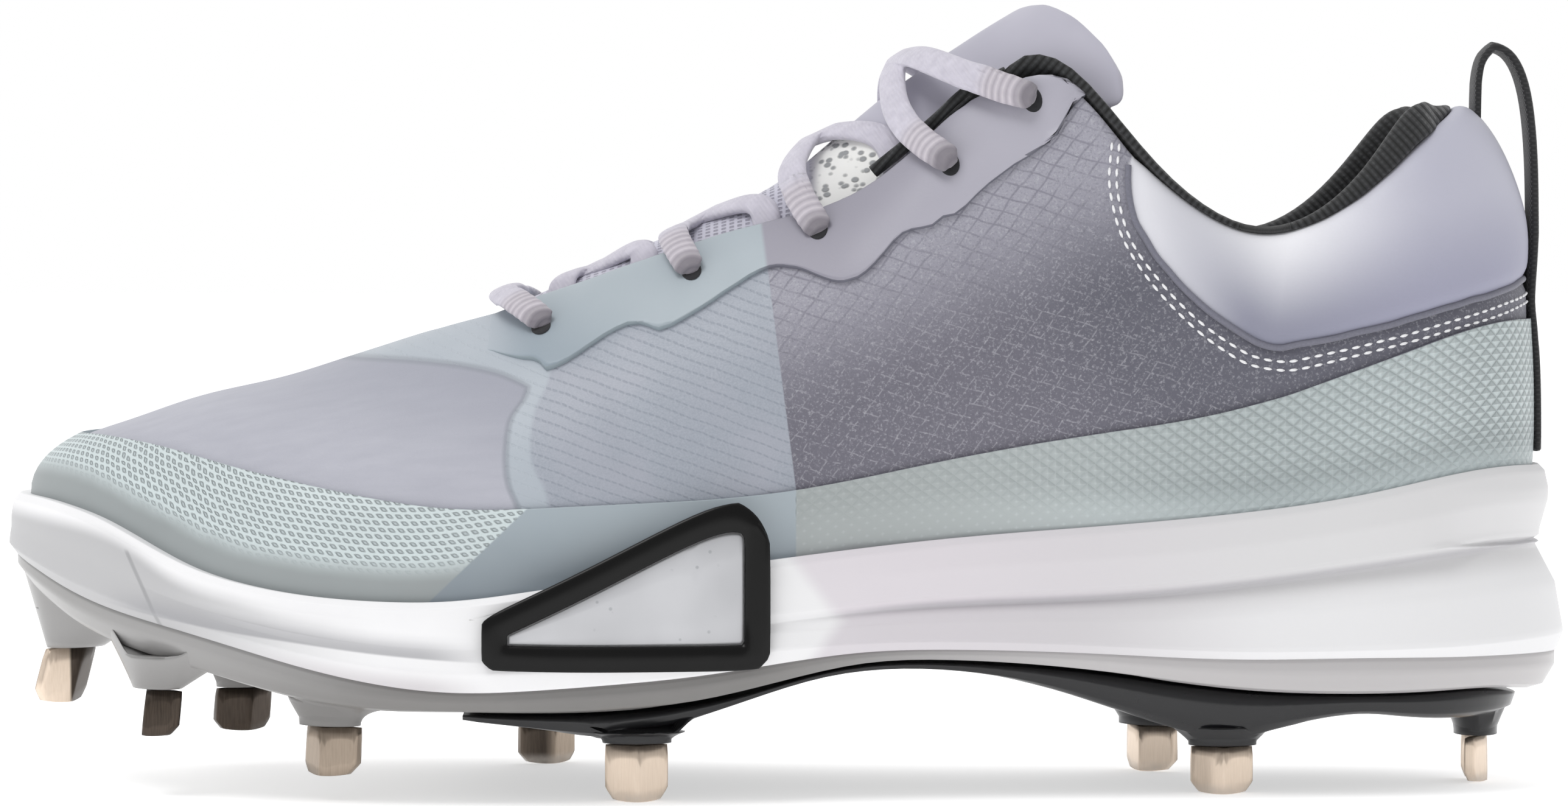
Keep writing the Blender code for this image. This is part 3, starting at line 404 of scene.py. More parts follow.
def vertex_values(piece, kind):
    flat = np.zeros(len(piece.data.vertices) * 3)
    piece.data.vertices.foreach_get(kind, flat)
    return flat.reshape(-1, 3)


def points_of(piece):
    """The vertices in millimetres."""
    return vertex_values(piece, "co") / MM


def normals_of(piece):
    return vertex_values(piece, "normal")


def columns(piece):
    """The points, and their x, y and z as columns that change them in place."""
    points = points_of(piece)
    return points, *points.T


def move_points(piece, points):
    piece.data.vertices.foreach_set("co", (points * MM).astype(np.float32).ravel())
    piece.data.update()


def note(piece, name, values):
    """Stores one number per vertex, for a material to read."""
    made = piece.data.attributes.new(name, "FLOAT", "POINT")
    made.data.foreach_set("value", np.asarray(values, np.float32))


def finish_piece(piece, slot, *materials, stands_for=()):
    """Puts a piece on the shoe with its materials, and hides the solids it stands for. slot is not used."""
    for material in materials:
        piece.data.materials.append(material)
    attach(piece, "root")
    if stands_for:
        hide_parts(*stands_for)
    print(f"{piece.name}: {len(piece.data.polygons)} faces")
    return piece


def dress(node, name, slot, material, **edges):
    """A plain smooth copy of a solid, finished at once."""
    return finish_piece(smooth_copy(node, name, 2, **edges), slot, material, stands_for=[node])


# %% [markdown]
# ## The upper
# One fabric shell with a foam collar. Its CAD solid already has the wall and the swell. The copy
# gets what a light solid can't hold: the pinched seam below the collar, the fuller pad above it
# and the soft creases of the flank. They are pushed along the surface by smooth falls of
# distance, because a cloth simulation would lose the wall's thickness.

# %% The seam below the collar, from the heel's back to the top edge in front
SEAM_BACK = [  # turn in degrees from the very back, height
    (0, 95.3), (11.5, 94.4), (31.5, 91.2), (47, 88.1), (61, 85.6), (76, 83.4),
]
SEAM_SIDE = [  # x, height
    (91, 82.6), (86, 83.8), (80.2, 87.2), (73.5, 93), (67.8, 99.6), (64.4, 105.5), (63, 112),
    (63.1, 117), (63.4, 119.5),
]

TIP_X, TIP_WIDTH, TIP_RISE = 51, 13, 4.8


def raise_tip(piece):
    """Draws the fabric up behind the last lace hole, where the eyestay stands highest."""
    points, x, y, z = columns(piece)
    z += TIP_RISE * ramp(z + 0.75 * (x - 44), 127, 5) * fall(x - TIP_X, TIP_WIDTH)
    move_points(piece, points)


upper = smooth_copy("upper", "upper_shell", 3)
raise_tip(upper)
tree = skin_tree(upper)


def seam_on_side(side):
    spots = [drop_turned(tree, math.radians(turn) * side, z) for turn, z in SEAM_BACK]
    spots += [drop_on(tree, x, z, side) for x, z in SEAM_SIDE]
    return smooth_line([spot / MM for spot in spots if spot], 130)


seams = {side: seam_on_side(side) for side in (-1, 1)}
seam = np.vstack([seams[-1][::-1], seams[1][1:]])
print("seam length:", round(float(run_along(seam)[-1])), "mm")


# %% Distance from the seam, above it or below
def from_seam(points):
    index, gap, offset = nearest_on_line(points, seam)
    run = np.diff(seam, axis=0)[index]
    above = (offset * np.cross(run, outward_of(points))).sum(1)
    return np.where(above * ABOVE > 0, gap, -gap)


ABOVE = 1
ABOVE = 1 if from_seam(np.array([[100.0, -36, 100]]))[0] > 0 else -1

# %% Creases and the collar's fullness
CREASES = [  # points (x, z) on the side, width, depth: a trough where the depth is negative
    ([(-128, 70), (-108, 64), (-86, 59), (-64, 56.5)], 4.5, -0.35),
    ([(-120, 76), (-98, 70), (-74, 66), (-56, 65)], 5.0, 0.30),
    ([(-104, 79), (-84, 75), (-66, 72)], 4.0, -0.30),
    ([(-36, 84), (-30, 74), (-27, 62)], 4.0, -0.35),
    ([(-6, 97), (0, 86), (2, 70), (3, 60)], 4.0, -0.30),
    ([(14, 96), (19, 84), (22, 72)], 4.5, 0.35),
    ([(34, 104), (41, 90), (45, 74), (48, 62)], 6.0, -0.55),
    ([(50, 98), (55, 86), (62, 76), (72, 70)], 5.0, 0.45),
    ([(58, 84), (66, 76), (78, 72), (92, 72)], 4.0, -0.40),
]
SEAM_DEPTH, SEAM_WIDTH = 0.9, 1.6
PUFF, PUFF_REACH = 1.1, 14  # how much fuller the collar gets, and how far above the seam it is full
PUFF_HEIGHT, PUFF_FADE = 104, 30

points, normals = points_of(upper), normals_of(upper)
outward = np.sign((normals * outward_of(points)).sum(1))
gap = from_seam(points)
push = -SEAM_DEPTH * fall(gap, SEAM_WIDTH)
fullness = np.sin(np.pi / 2 * ramp(gap, 0, PUFF_REACH)) * fall(points[:, 2] - PUFF_HEIGHT, PUFF_FADE)
push += PUFF * fullness * ((outward > 0) & (gap > 0))
for spots, width, depth in CREASES:
    line = smooth_line(spots, 40)
    away = nearest_on_line(points[:, [0, 2]], line)[1]
    push += depth * fall(away, width) * (gap < 0)
move_points(upper, points + normals * (outward * push)[:, None])
note(upper, "seam", gap)
wrap(upper)
print("upper:", len(upper.data.polygons), "faces")


# %% [markdown]
# ### Its fabrics
# Four panels meet on the side: a smooth vamp, a film over ripstop, a speckled weave with a
# lattice of threads, and the satin collar. One material with soft masks keeps their borders
# together, where four separate pieces would leave gaps.

# %% Upper finish
def upper_finish():
    f = Finish("upper_panels", Sheen_Weight=0.15, Sheen_Roughness=0.5)
    point, x, y, z = f.place()
    seam = f.reading("seam")
    collar = seam.step(-0.2, 0.6)
    rear = (x + (z - 57) * 0.13 - 2.2).step(-0.15, 0.15)
    film_edge = f.curve(z, [(46, -47), (53, -47.9), (62, -50.4), (68, -50.1), (75, -46.9), (84, -46)])
    film_top = f.curve(x, [(-90, 80.6), (-77, 80.4), (-65, 79.8), (-56, 78.7), (-49, 76.6), (-45, 74)])
    vamp_line = (film_edge - x).math("MINIMUM", film_top - z)
    vamp = vamp_line.step(-0.15, 0.15)
    band_edge = f.curve(z, [(44, -43), (54, -42.6), (65, -46), (77, -43), (90, -40)])
    ripstop = (x - band_edge).step(-0.6, 0.6)
    fine = f.noise(point, 0.35, 3)
    soft = f.noise(point, 14, 2)
    # vamp
    streak = f.noise(f.stretched(point, 0.05, 0.4, 0.5), 1.0, 3)
    vamp_colour = f.mix(streak, (0.395, 0.40, 0.46), (0.485, 0.49, 0.55))
    vamp_colour = f.mix((z + x * 0.25).step(42, 66) * 0.8, vamp_colour, (0.31, 0.32, 0.38))
    # film band and ripstop
    down = x * 0.34 + z * 0.94
    lines = (down + f.noise(point, 6, 1) * 0.7).wave(1.95).step(0.26, 0.05)
    dashes = 0.35 + 0.65 * (x * 0.94 - z * 0.34 + down * 0.7).wave(1.3).step(0.2, 0.5)
    rips = lines * dashes
    front_colour = f.mix(fine, (0.26, 0.29, 0.345), (0.42, 0.445, 0.50))
    front_colour = f.mix(soft.step(0.4, 0.7) * 0.5, front_colour, (0.39, 0.40, 0.46))
    front_colour = f.mix(rips * 0.5, front_colour, (0.22, 0.25, 0.30))
    band_colour = f.mix(soft, (0.385, 0.43, 0.48), (0.44, 0.48, 0.53))
    front = f.mix(ripstop, band_colour, front_colour)
    # rear: a speckled weave with a lattice of threads. Its base carries painted shade, dark low on the side and
    # darkest just below the collar's seam, and painted light towards the top
    bend = f.noise(point, 7, 1) * 1.6
    one_way, other_way = x * 0.80 - z * 0.60 + bend, x * 0.30 + z * 0.95 + bend
    lattice = one_way.wave(2.9).step(0.2, 0.02).math("MAXIMUM", other_way.wave(2.8).step(0.2, 0.02))
    near_top = (z - x * 0.42).step(66, 95)
    speck = f.noise(point, 0.55, 2, 0.7).step(0.5, 0.72)
    low = f.mix(seam.math("ABSOLUTE").step(42, 5), (0.145, 0.14, 0.175), (0.105, 0.105, 0.135))
    base = f.mix(near_top, low, (0.33, 0.325, 0.38))
    base = f.mix(speck * 0.4, base, (0.50, 0.50, 0.54))
    base = f.mix(f.noise(point, 0.4, 2, 0.7).step(0.5, 0.32) * 0.3, base, (0.09, 0.09, 0.115))
    base = f.mix(lattice * near_top * f.noise(point, 5, 2).step(0.25, 0.6) * 0.5, base, (0.12, 0.115, 0.155))
    thread = one_way.wave(2.5).step(0.15, 0.02).math("MAXIMUM", other_way.wave(2.5).step(0.15, 0.02))
    pale = thread * (1 - near_top) * f.noise(point, 1.0, 2).step(0.42, 0.6) * seam.step(-4, -16)
    rear_colour = f.mix(pale * 0.3, base, (0.55, 0.55, 0.59))
    side = f.mix(rear, front, rear_colour)
    side = f.mix(vamp, side, vamp_colour)
    # the dark line round the vamp is painted shade of the trough along its seam
    line = vamp_line.math("ABSOLUTE").step(1.0, 0.2) * (z - 46).step(0, 3)
    side = f.mix(line * 0.6, side, (0.24, 0.26, 0.30))
    # collar satin, with painted shade that darkens it towards the seam below the pad; it is also darker towards its
    # front end and towards the heel
    satin = f.mix(soft, (0.86, 0.86, 0.90), (0.93, 0.93, 0.96))
    satin = f.mix(x.step(84, 70) * 0.65, satin, (0.58, 0.58, 0.63))
    satin = f.mix(seam.step(21, 2) * x.step(64, 86) * 0.92, satin, (0.18, 0.185, 0.26))
    satin = f.mix(x.step(84, 122) * 0.75, satin, (0.34, 0.34, 0.45))
    colour = f.mix(collar, side, satin)
    weave = fine * 0.5 + rips * (1 - rear) * (1 - vamp) * -0.6 + lattice * rear * near_top * -0.5
    height = weave * (1 - collar) + f.noise(point, 0.5, 2) * collar * 0.35
    rough = 0.62 - (1 - rear) * (1 - vamp) * 0.16 - collar * 0.05
    return f.show(Base_Color=colour, Roughness=rough, Normal=f.bump(height, 0.16, 0.6))


finish_piece(upper, "upper_fabric", upper_finish(), stands_for=["upper"])

# %% [markdown]
# ## Rand and eyestay: films laid on the fabric
# Both are thin mouldings. Their copies are laid onto the shaped upper, a fixed height above it,
# so a crease in the fabric shows through the film as it does on the shoe. Their narrow side
# walls get a darker material: that is the fine line seen round them.

# %% Lay a film on the upper
upper_tree = skin_tree(upper)
SINK = 0.35  # how deep a film's back lies in the fabric
WALL = 0.6  # a face stands across the fabric where the cosine between their normals is below this


def lay(piece, height):
    """Sets a film's outer face to a height above the fabric and sinks its back into it.
    height is one number, or a function of the points."""
    points, normals = points_of(piece), normals_of(piece)
    heights = height(points) if callable(height) else np.full(len(points), height)
    placed = points.copy()
    for i, spot in enumerate(points):
        near, normal = nearest(upper_tree, spot)
        share = min(1, max(0, normals[i] @ normal * 0.9 + 0.5))
        placed[i] = near + normal * ((heights[i] + SINK) * share - SINK)
    move_points(piece, placed)


def is_wall(face):
    """Whether a film's face belongs to its narrow side wall."""
    return abs(upper_tree.find_nearest(face.center)[1].dot(face.normal)) < WALL


# %% Rand finish
def rand_finish():
    f = Finish("rand_moulding", Coat_Weight=0.15, Coat_Roughness=0.3)
    point, x, y, z = f.place()
    around, up = f.reading("around"), f.reading("up")
    toe = (x + (52 - z) * 1.05 + 48.3).step(0.3, -0.3)
    rear = (x - 2.2).step(-0.2, 0.2)
    soft = f.noise(point, 12, 2)
    lattice_fade = up.step(4.5, 8.5)
    slant = around + up * 0.9
    pit = slant.wave(1.75).step(0.25, 0.8) * up.wave(1.25).step(0.25, 0.75)
    pits = pit * lattice_fade * toe
    toe_colour = f.mix(up.step(3.5, 8.5), (0.285, 0.31, 0.315), (0.62, 0.70, 0.71))
    # painted shade in the toe's pits
    toe_colour = f.mix(pits * 0.6, toe_colour, (0.32, 0.37, 0.39))
    film = f.mix(z.step(38, 56), (0.21, 0.25, 0.285), (0.36, 0.415, 0.455))
    heel = x.step(20, 96)
    first = (around + up * 1.25).wave(2.9)
    second = (around - up * 1.25).wave(2.9)
    stud = first.math("MINIMUM", second)
    foot_fade = (up + heel * 5).step(3, 11)
    studs = stud * foot_fade * rear
    rear_colour = f.mix(x.step(10, 125), (0.355, 0.385, 0.385), (0.66, 0.745, 0.755))
    # painted shade in the valleys between the heel's pyramids, and a painted highlight on their tops
    valley = (1 - stud).step(0.55, 0.95) * (0.12 + heel * 0.3) * foot_fade
    rear_colour = f.mix(valley, rear_colour, (0.24, 0.28, 0.29))
    rear_colour = f.mix(stud.step(0.55, 1.0) * (0.15 + heel * 0.35), rear_colour, (0.74, 0.80, 0.81))
    rear_colour = f.mix(up.step(12, 1) * x.step(40, 90) * 0.55, rear_colour, (0.34, 0.39, 0.40))
    colour = f.mix(toe, f.mix(rear, film, rear_colour), toe_colour)
    colour = f.mix(soft * 0.2, colour, (0.45, 0.49, 0.50))
    height = studs * (0.4 + heel) - pits * 0.6
    return f.show(Base_Color=colour, Roughness=0.42 + toe * 0.1, Normal=f.bump(height, 0.8, 1.0))


def edge_finish():
    f = Finish("film_edge", Roughness=0.6)
    point, x, y, z = f.place()
    dark = f.mix(f.noise(point, 4), (0.13, 0.13, 0.16), (0.18, 0.18, 0.22))
    return f.show(Base_Color=f.mix(x.step(-6, -2), (0.27, 0.32, 0.35), dark))


film_edge = edge_finish()
HEEL_RISE = 3.6  # how much higher the rand's top edge climbs at the very back
RAND_TUCK = 5  # how far the rand's foot runs down behind the foam's lip
RAND_HEIGHT = 0.85  # how proud of the fabric it stands
EDGE_FROM = 6  # above the rim, where its side wall is a top edge and not the tucked foot
rand = smooth_copy("rand", "rand_film", 2, sharp=45, crease=0.9)
points, x, y, z = columns(rand)
above = z - rim_height(points)
z -= RAND_TUCK * (1 - ramp(above, 0, 7)) ** 2
z += HEEL_RISE * ramp(above, 0, 20) * ramp(x, 92, 45)
move_points(rand, points)
lay(rand, RAND_HEIGHT)
rise = wrap(rand)
for face in rand.data.polygons:
    face.material_index = int(min(rise[v] for v in face.vertices) > EDGE_FROM and is_wall(face))
finish_piece(rand, "rand_film", rand_finish(), film_edge, stands_for=["rand"])


# %% Eyestay finish
def eyestay_finish():
    f = Finish("eyestay_satin", Coat_Weight=0.1, Coat_Roughness=0.35, Sheen_Weight=0.1)
    point, x, y, z = f.place()
    rear = (x + (z - 100) * 0.13 + 3.5).step(-0.5, 0.5)
    soft = f.noise(point, 16, 2)
    teal = f.mix(soft, (0.335, 0.39, 0.43), (0.405, 0.46, 0.50))
    teal = f.mix((z + x * 0.3).step(66, 84), (0.275, 0.33, 0.38), teal)
    teal = f.mix(x.step(-45, -57), teal, (0.40, 0.445, 0.495))
    lilac = f.mix(soft, (0.37, 0.36, 0.42), (0.43, 0.42, 0.485))
    lilac = f.mix((x - (z - 95) * 0.6).step(24, 4), lilac, (0.285, 0.275, 0.33))
    grain = f.noise(point, 0.5, 2)
    return f.show(Base_Color=f.mix(rear, teal, lilac), Roughness=0.42 + grain * 0.1, Normal=f.bump(grain, 0.05, 0.4))


SCALLOP = [
    (-54.4, 82.5), (-51, 81), (-46.7, 79.4), (-42.8, 78.8), (-40, 80.2), (-36.6, 83.6), (-33.3, 86.9),
    (-30.5, 87.8), (-26.6, 87.2), (-22.7, 86.3), (-19.7, 86.6), (-16, 88.9), (-10.9, 92.7), (-5.9, 96.6),
    (-2.9, 97.9), (1.3, 97.4), (6.4, 95.5), (11.4, 94.6), (14.2, 95.6), (16.8, 98.2), (18.9, 101.1),
    (20.8, 103.5), (24.5, 104.4), (29.4, 104.6), (32.7, 105.9), (37.2, 109.7), (42.4, 114),
    (48.5, 119.8), (54, 124.4), (58, 127),
]
SHIFT_DEPTH, MOST_SHIFT = 11, 5
WIDE_FROM, WIDE_REACH, REACH_BY = 42, 2.6, 1.6  # the rear has fewer vertices, so it is read in wider windows
EVEN_FROM = 40  # from here the edge that was read is smoothed


def reach_back(piece):
    """Draws the rear end of the overlay back to the collar roll."""
    points, x, y, z = columns(piece)
    more = 0.75 * np.clip(x - 44, 0, None)
    x += more
    z -= 0.35 * more
    move_points(piece, points)


def scallop(piece):
    """Moves the lower edge to the scalloped line, and the film above it less and less."""
    points, x, y, z = columns(piece)
    line = smooth_line(SCALLOP, 200)
    stations = np.linspace(line[0, 0], line[-1, 0], 70)
    rear, reach = stations > EVEN_FROM, np.where(stations > WIDE_FROM, WIDE_REACH, REACH_BY)
    for side in (-1, 1):
        chosen = (x > line[0, 0]) & (x < line[-1, 0]) & (np.sign(y) == side)
        lows = np.array([z[chosen & (abs(x - at) < near)].min() for at, near in zip(stations, reach)])
        lows[rear] = np.convolve(np.pad(lows, 3, mode="edge"), np.ones(7) / 7, "valid")[rear]
        low = np.interp(x, stations, lows)
        want = np.interp(x, line[:, 0], line[:, 1])
        fade = np.clip(1 - (z - low) / SHIFT_DEPTH, 0, 1)
        z[chosen] += (np.clip(want - low, -MOST_SHIFT, MOST_SHIFT) * fade**1.5)[chosen]
    move_points(piece, points)


def eyestay_height(points):
    """Flush with the band at the front, then standing proud from the first scallop on."""
    return -0.3 + 1.25 * ramp(points[:, 0], -58, 12)


eyestay = smooth_copy("eyestay", "eyestay_film", 2, sharp=45, crease=0.9)
reach_back(eyestay)
scallop(eyestay)
raise_tip(eyestay)
lay(eyestay, eyestay_height)
for face in eyestay.data.polygons:
    face.material_index = int(is_wall(face))
finish_piece(eyestay, "eyestay_film", eyestay_finish(), film_edge, stands_for=["eyestay"])

# %% [markdown]
# ## Piping and stitches
# A rolled piping covers the seam below the collar, with two rows of white stitches outside it.
# The piping is a curve with a round section. Each stitch is a tiny capsule of a few faces laid
# on the fabric, because hundreds of them have to stay light.

# %% Piping along the seam
def tube(name, line, radius):
    """A round cord along a line."""
    curve = bpy.data.curves.new(name, "CURVE")
    curve.dimensions, curve.bevel_depth, curve.bevel_resolution, curve.use_fill_caps = "3D", radius * MM, 3, True
    spline = curve.splines.new("POLY")
    spline.points.add(len(line) - 1)
    for point, spot in zip(spline.points, line):
        point.co = (*(Vector(spot) * MM), 1)
    holder = linked(name + "_line", curve)
    mesh = evaluated(holder)
    bpy.data.objects.remove(holder)
    for face in mesh.polygons:
        face.use_smooth = True
    return linked(name, mesh)


def on_fabric(spots, lift):
    """Spots moved onto the shaped upper and lifted off it, with the way out at each."""
    placed, ways = [], []
    for spot in spots:
        near, normal = nearest(upper_tree, spot)
        placed.append(near + normal * lift)
        ways.append(normal)
    return np.array(placed), np.array(ways)


def thread_finish(name, dark, light, rough):
    f = Finish(name, Roughness=rough, Sheen_Weight=0.2)
    point = f.place()[0]
    grain = f.noise(point, 0.4, 3)
    return f.show(Base_Color=f.mix(grain, dark, light), Normal=f.bump(grain, 0.08, 0.5))


PIPING_RADIUS, PIPING_LIFT = 0.6, 0.25
pipe_line, _ = on_fabric(seam[1:-1], PIPING_LIFT)
piping = tube("collar_piping", smooth_line(pipe_line[::4], 260), PIPING_RADIUS)
finish_piece(piping, "upper_fabric", thread_finish("piping_fabric", (0.13, 0.13, 0.165), (0.20, 0.20, 0.25), 0.7))

# %% Two rows of stitches
STITCH, STITCH_GAP, STITCH_LIFT = 1.85, 0.5, 0.12
STITCH_HALF = (STITCH / 2, 0.31, 0.3)  # half its length, width and thickness
STITCH_ROWS = (2.7, 4.7)  # distances from the seam


def offset_row(distance):
    longer = np.vstack([2 * seam[:1] - seam[4:5], seam, 2 * seam[-1:] - seam[-5:-4]])
    run = np.gradient(longer, axis=0)
    run /= np.linalg.norm(run, axis=1, keepdims=True)
    sideways = np.cross(run, outward_of(longer)) * -ABOVE
    return smooth_line(on_fabric(longer + sideways * distance, 0.0)[0][::5], 900)


def stamp(spot, axes, halves):
    """Where a unit ball goes to fill those half sizes along three axes at a spot."""
    turn = Matrix(axes).transposed().to_4x4()
    return Matrix.Translation(Vector(spot) * MM) @ turn @ Matrix.Diagonal((*halves, 1)) @ Matrix.Scale(MM, 4)


def stitches(name, rows):
    mesh = bmesh.new()
    for line in rows:
        run = run_along(line)
        for start in np.arange(0.4, run[-1] - 2, STITCH + STITCH_GAP):
            ends = [np.array([np.interp(s, run, line[:, i]) for i in range(3)]) for s in (start, start + STITCH)]
            middle, ways = on_fabric([(ends[0] + ends[1]) / 2], STITCH_LIFT)
            along, out = Vector(ends[1] - ends[0]).normalized(), Vector(ways[0])
            place = stamp(middle[0], (along, along.cross(out).normalized(), out), STITCH_HALF)
            bmesh.ops.create_icosphere(mesh, subdivisions=1, radius=1, matrix=place)
    return piece_from(mesh, name)


white_rows = stitches("collar_stitches", [offset_row(d) for d in STITCH_ROWS])
white_thread = thread_finish("white_thread", (0.78, 0.78, 0.80), (0.92, 0.92, 0.93), 0.55)
finish_piece(white_rows, "upper_fabric", white_thread)


# %% [markdown]
# ## Knit roll and lining
# The opening's edge is bound in a black knit roll that widens up the heel. Ribs across the roll
# come from bump: they are too fine for faces.

# %% Lining finish
def knit_finish(name, dark, light):
    f = Finish(name, Roughness=0.85, Sheen_Weight=0.25, Sheen_Roughness=0.4)
    point, x, y, z = f.place()
    slope = (x - 88).step(-5, 5) * 2 - 1
    rib = (x * 0.75 + z * slope * 0.66).wave(1.25) * (0.7 + 0.3 * (x * slope * 0.66 - z * 0.75).wave(0.9))
    rib = rib * (0.4 + f.noise(point, 1.0, 2))
    return f.show(Base_Color=f.mix(rib, dark, light), Normal=f.bump(rib, 0.35, 0.8))


knit = knit_finish("black_knit_rib", (0.001, 0.001, 0.001), (0.05, 0.052, 0.055))
lining = smooth_copy("collar_lining", "collar_knit", 2)
raise_tip(lining)
CORNER_IN, CORNER_DOWN = 2.4, 2.2  # how far the roll's top corner at the heel is drawn forward and down
points, x, y, z = columns(lining)
x -= CORNER_IN * ramp(x, 118, 5) * ramp(z, 122, 5)
z -= CORNER_DOWN * ramp(x, 114, 7) ** 2 * ramp(z, 120, 6)
move_points(lining, points)
finish_piece(lining, "black_knit", knit, stands_for=["collar_lining"])

dress("insole", "sock_liner", "black_knit", knit, crease=0.8)


# %% [markdown]
# ## Tongue
# A padded tongue: satin at its top, an open scale knit in the middle of the throat and a fine
# dotted mesh lower down. The pad runs as the solid has it. Only its top is moved, by smooth falls
# of distance: the crown rises and the edge swells into a round flap. A sculpt would lose the run.

# %% Tongue
def tongue_finish():
    f = Finish("tongue_cloth", Roughness=0.6, Sheen_Weight=0.2)
    point, x, y, z = f.place()
    soft = f.noise(point, 12, 2)
    satin = f.mix(soft, (0.41, 0.40, 0.475), (0.48, 0.47, 0.545))
    scale = f.cells(f.stretched(point, 1.0, 1.0, 1.4), 1.9).step(0.26, 0.48)
    knit_colour = f.mix(scale, (0.30, 0.31, 0.32), (0.86, 0.86, 0.84))
    dots = x.wave(1.5).step(0.3, 0.7) * (z + y).wave(1.5).step(0.3, 0.7)
    mesh_colour = f.mix(dots, (0.56, 0.55, 0.64), (0.32, 0.31, 0.38))
    middle = x.step(4, 7) * x.step(20, 17) * z.step(123, 121.5)
    lower = x.step(6, 3)
    colour = f.mix(lower, f.mix(middle, satin, knit_colour), mesh_colour)
    height = scale * middle * -1.0 + dots * lower * -0.8 + soft * 0.2
    return f.show(Base_Color=colour, Normal=f.bump(height, 0.4, 0.7))


TONGUE_MIDDLE, TONGUE_HALF = -3.7, 19.5
CROWN_RISE, CORNER_BACK = 3.0, 3.5


def round_top(piece):
    """Raises the tongue's crown and swells its top edge outwards into a round flap."""
    points, x, y, z = columns(piece)
    sideways = y - TONGUE_MIDDLE
    z += CROWN_RISE * fall(x - 17, 12) * fall(sideways, 11)
    lift, spread = ramp(z, 120, 18), ramp(np.abs(sideways), 0, TONGUE_HALF)
    swell = np.sin(np.pi * spread)
    x += lift * (1.5 + 3.2 * swell)
    z += lift * (0.5 + swell - 1.2 * spread**3)
    x += CORNER_BACK * fall(z - 127, 5) * ramp(x, 48, 10)
    move_points(piece, points)


tongue = smooth_copy("tongue", "padded_tongue", 2)
round_top(tongue)
finish_piece(tongue, "upper_fabric", tongue_finish(), stands_for=["tongue"])


# %% [markdown]
# ## Laces
# Flat oval cords pass over the tongue and down into the holes, where they crease in fine ribs.
# The solids already hold their routes. Each copy notes how far its points lie from the nearest
# hole, and that distance places the ribs and darkens the tips with painted shade. New tubes along drawn
# lines would lose the routes that the solids give.

# %% Lace finish
RIB_PITCH, RIB_DEPTH, RIB_REACH = 1.05, 0.06, 9


def lace_finish():
    f = Finish("lace_weave", Roughness=0.7, Sheen_Weight=0.3)
    point, x, y, z = f.place()
    tip = f.reading("tip")
    rib = tip.wave(RIB_PITCH)
    weave = (x * 0.8 + z * 0.6).wave(0.8) * (y * 0.8 - z * 0.6).wave(0.8)
    near = tip.step(11, 8)
    colour = f.mix(f.noise(point, 2, 3), (0.44, 0.42, 0.495), (0.66, 0.635, 0.72))
    colour = f.mix(weave * 0.3, colour, (0.66, 0.64, 0.70))
    # painted light and shade on the ribs near each hole, lighter crests and darker furrows, then painted shadow on
    # the tip where it dives into its hole
    colour = f.mix(near * rib * 0.5, colour, (0.64, 0.58, 0.59))
    colour = f.mix(near * (1 - rib) * 0.6, colour, (0.30, 0.26, 0.285))
    colour = f.mix(tip.step(5.0, 2.6) * 0.8, colour, (0.11, 0.10, 0.12))
    height = weave * (1 - near) * 0.5 + rib * near
    return f.show(Base_Color=colour, Normal=f.bump(height, 0.3, 0.6))


lace_material = lace_finish()


HOLE_SPOTS = {  # x, y on the near side, y on the far side, z
    0: (-46, -24.4, 20.5, 86.8), 1: (-17.6, -24.1, 16.5, 97.7), 2: (5.4, -24.5, 15, 105.3),
    3: (29, -29.2, 20.6, 117.5), 4: (44.6, -28.6, 21.4, 128.7),
}
LACES = {  # each solid, its piece, how far its arch sinks, and how its ends reach into which holes
    "lace_bar": ("lace_front_bar", 0.5, {0: (3.3, -2.0)}),
    "lace_cross_1": ("lace_first", 3.4, {}),
    "lace_cross_2": ("lace_second", 3.0, {1: (1.5, -3.2)}),
    "lace_cross_3": ("lace_third", 2.2, {2: (2.6, -3.6)}),
    "lace_cross_4": ("lace_top", 0.0, {3: (3.0, -2.2), 4: (1.9, -0.8)}),
}
REACH, PRESS, MOST_CHANGE = 16, 0.9, 1.5  # a pulled end's length, its depth in the fabric, the limit of a shift


def height_on_upper(spot):
    """How high a spot stands over the upper, with the nearest point there and its normal."""
    near, normal = nearest(upper_tree, spot)
    return (spot - near) @ normal, near, normal


def mouths(reaches):
    """The centre of each hole that a lace uses, on both sides, and the shift of its end there."""
    for hole, (back, down) in reaches.items():
        x, near, far, z = HOLE_SPOTS[hole]
        for y in (near, far):
            yield np.array((x, y, z)), np.array((back, 0, down))


def lace(node, name, sink, reaches):
    """A lace with its ends drawn to their holes, kept at their height over the upper and ribbed."""
    piece = smooth_copy(node, name, 3)
    points, normals = points_of(piece), normals_of(piece)
    tip = np.full(len(points), 99.0)
    moved = points.copy()
    for mouth, shift in mouths(reaches):
        away = np.linalg.norm(points - mouth, axis=1)
        moved += (np.clip(1 - away / REACH, 0, 1) ** 1.5)[:, None] * shift
        tip = np.minimum(tip, away)
    moved[:, 2] -= sink * np.clip(tip / REACH - 0.2, 0, 1)
    for i in np.nonzero(tip < 12)[0]:
        before = height_on_upper(points[i])[0]
        after, _, normal = height_on_upper(moved[i])
        change = min(MOST_CHANGE, max(-MOST_CHANGE, before - after)) * min(1, 2.5 * (1 - tip[i] / REACH))
        moved[i] += normal * (change - PRESS * max(0, 1 - tip[i] / 10))
    ribs = RIB_DEPTH * np.sin(tip * 2 * np.pi / RIB_PITCH) * (tip < RIB_REACH)
    move_points(piece, moved + normals * ribs[:, None])
    note(piece, "tip", tip)
    return finish_piece(piece, "lace_cord", lace_material, stands_for=[node])


for solid, (piece_name, sink, reaches) in LACES.items():
    lace(solid, piece_name, sink, reaches)

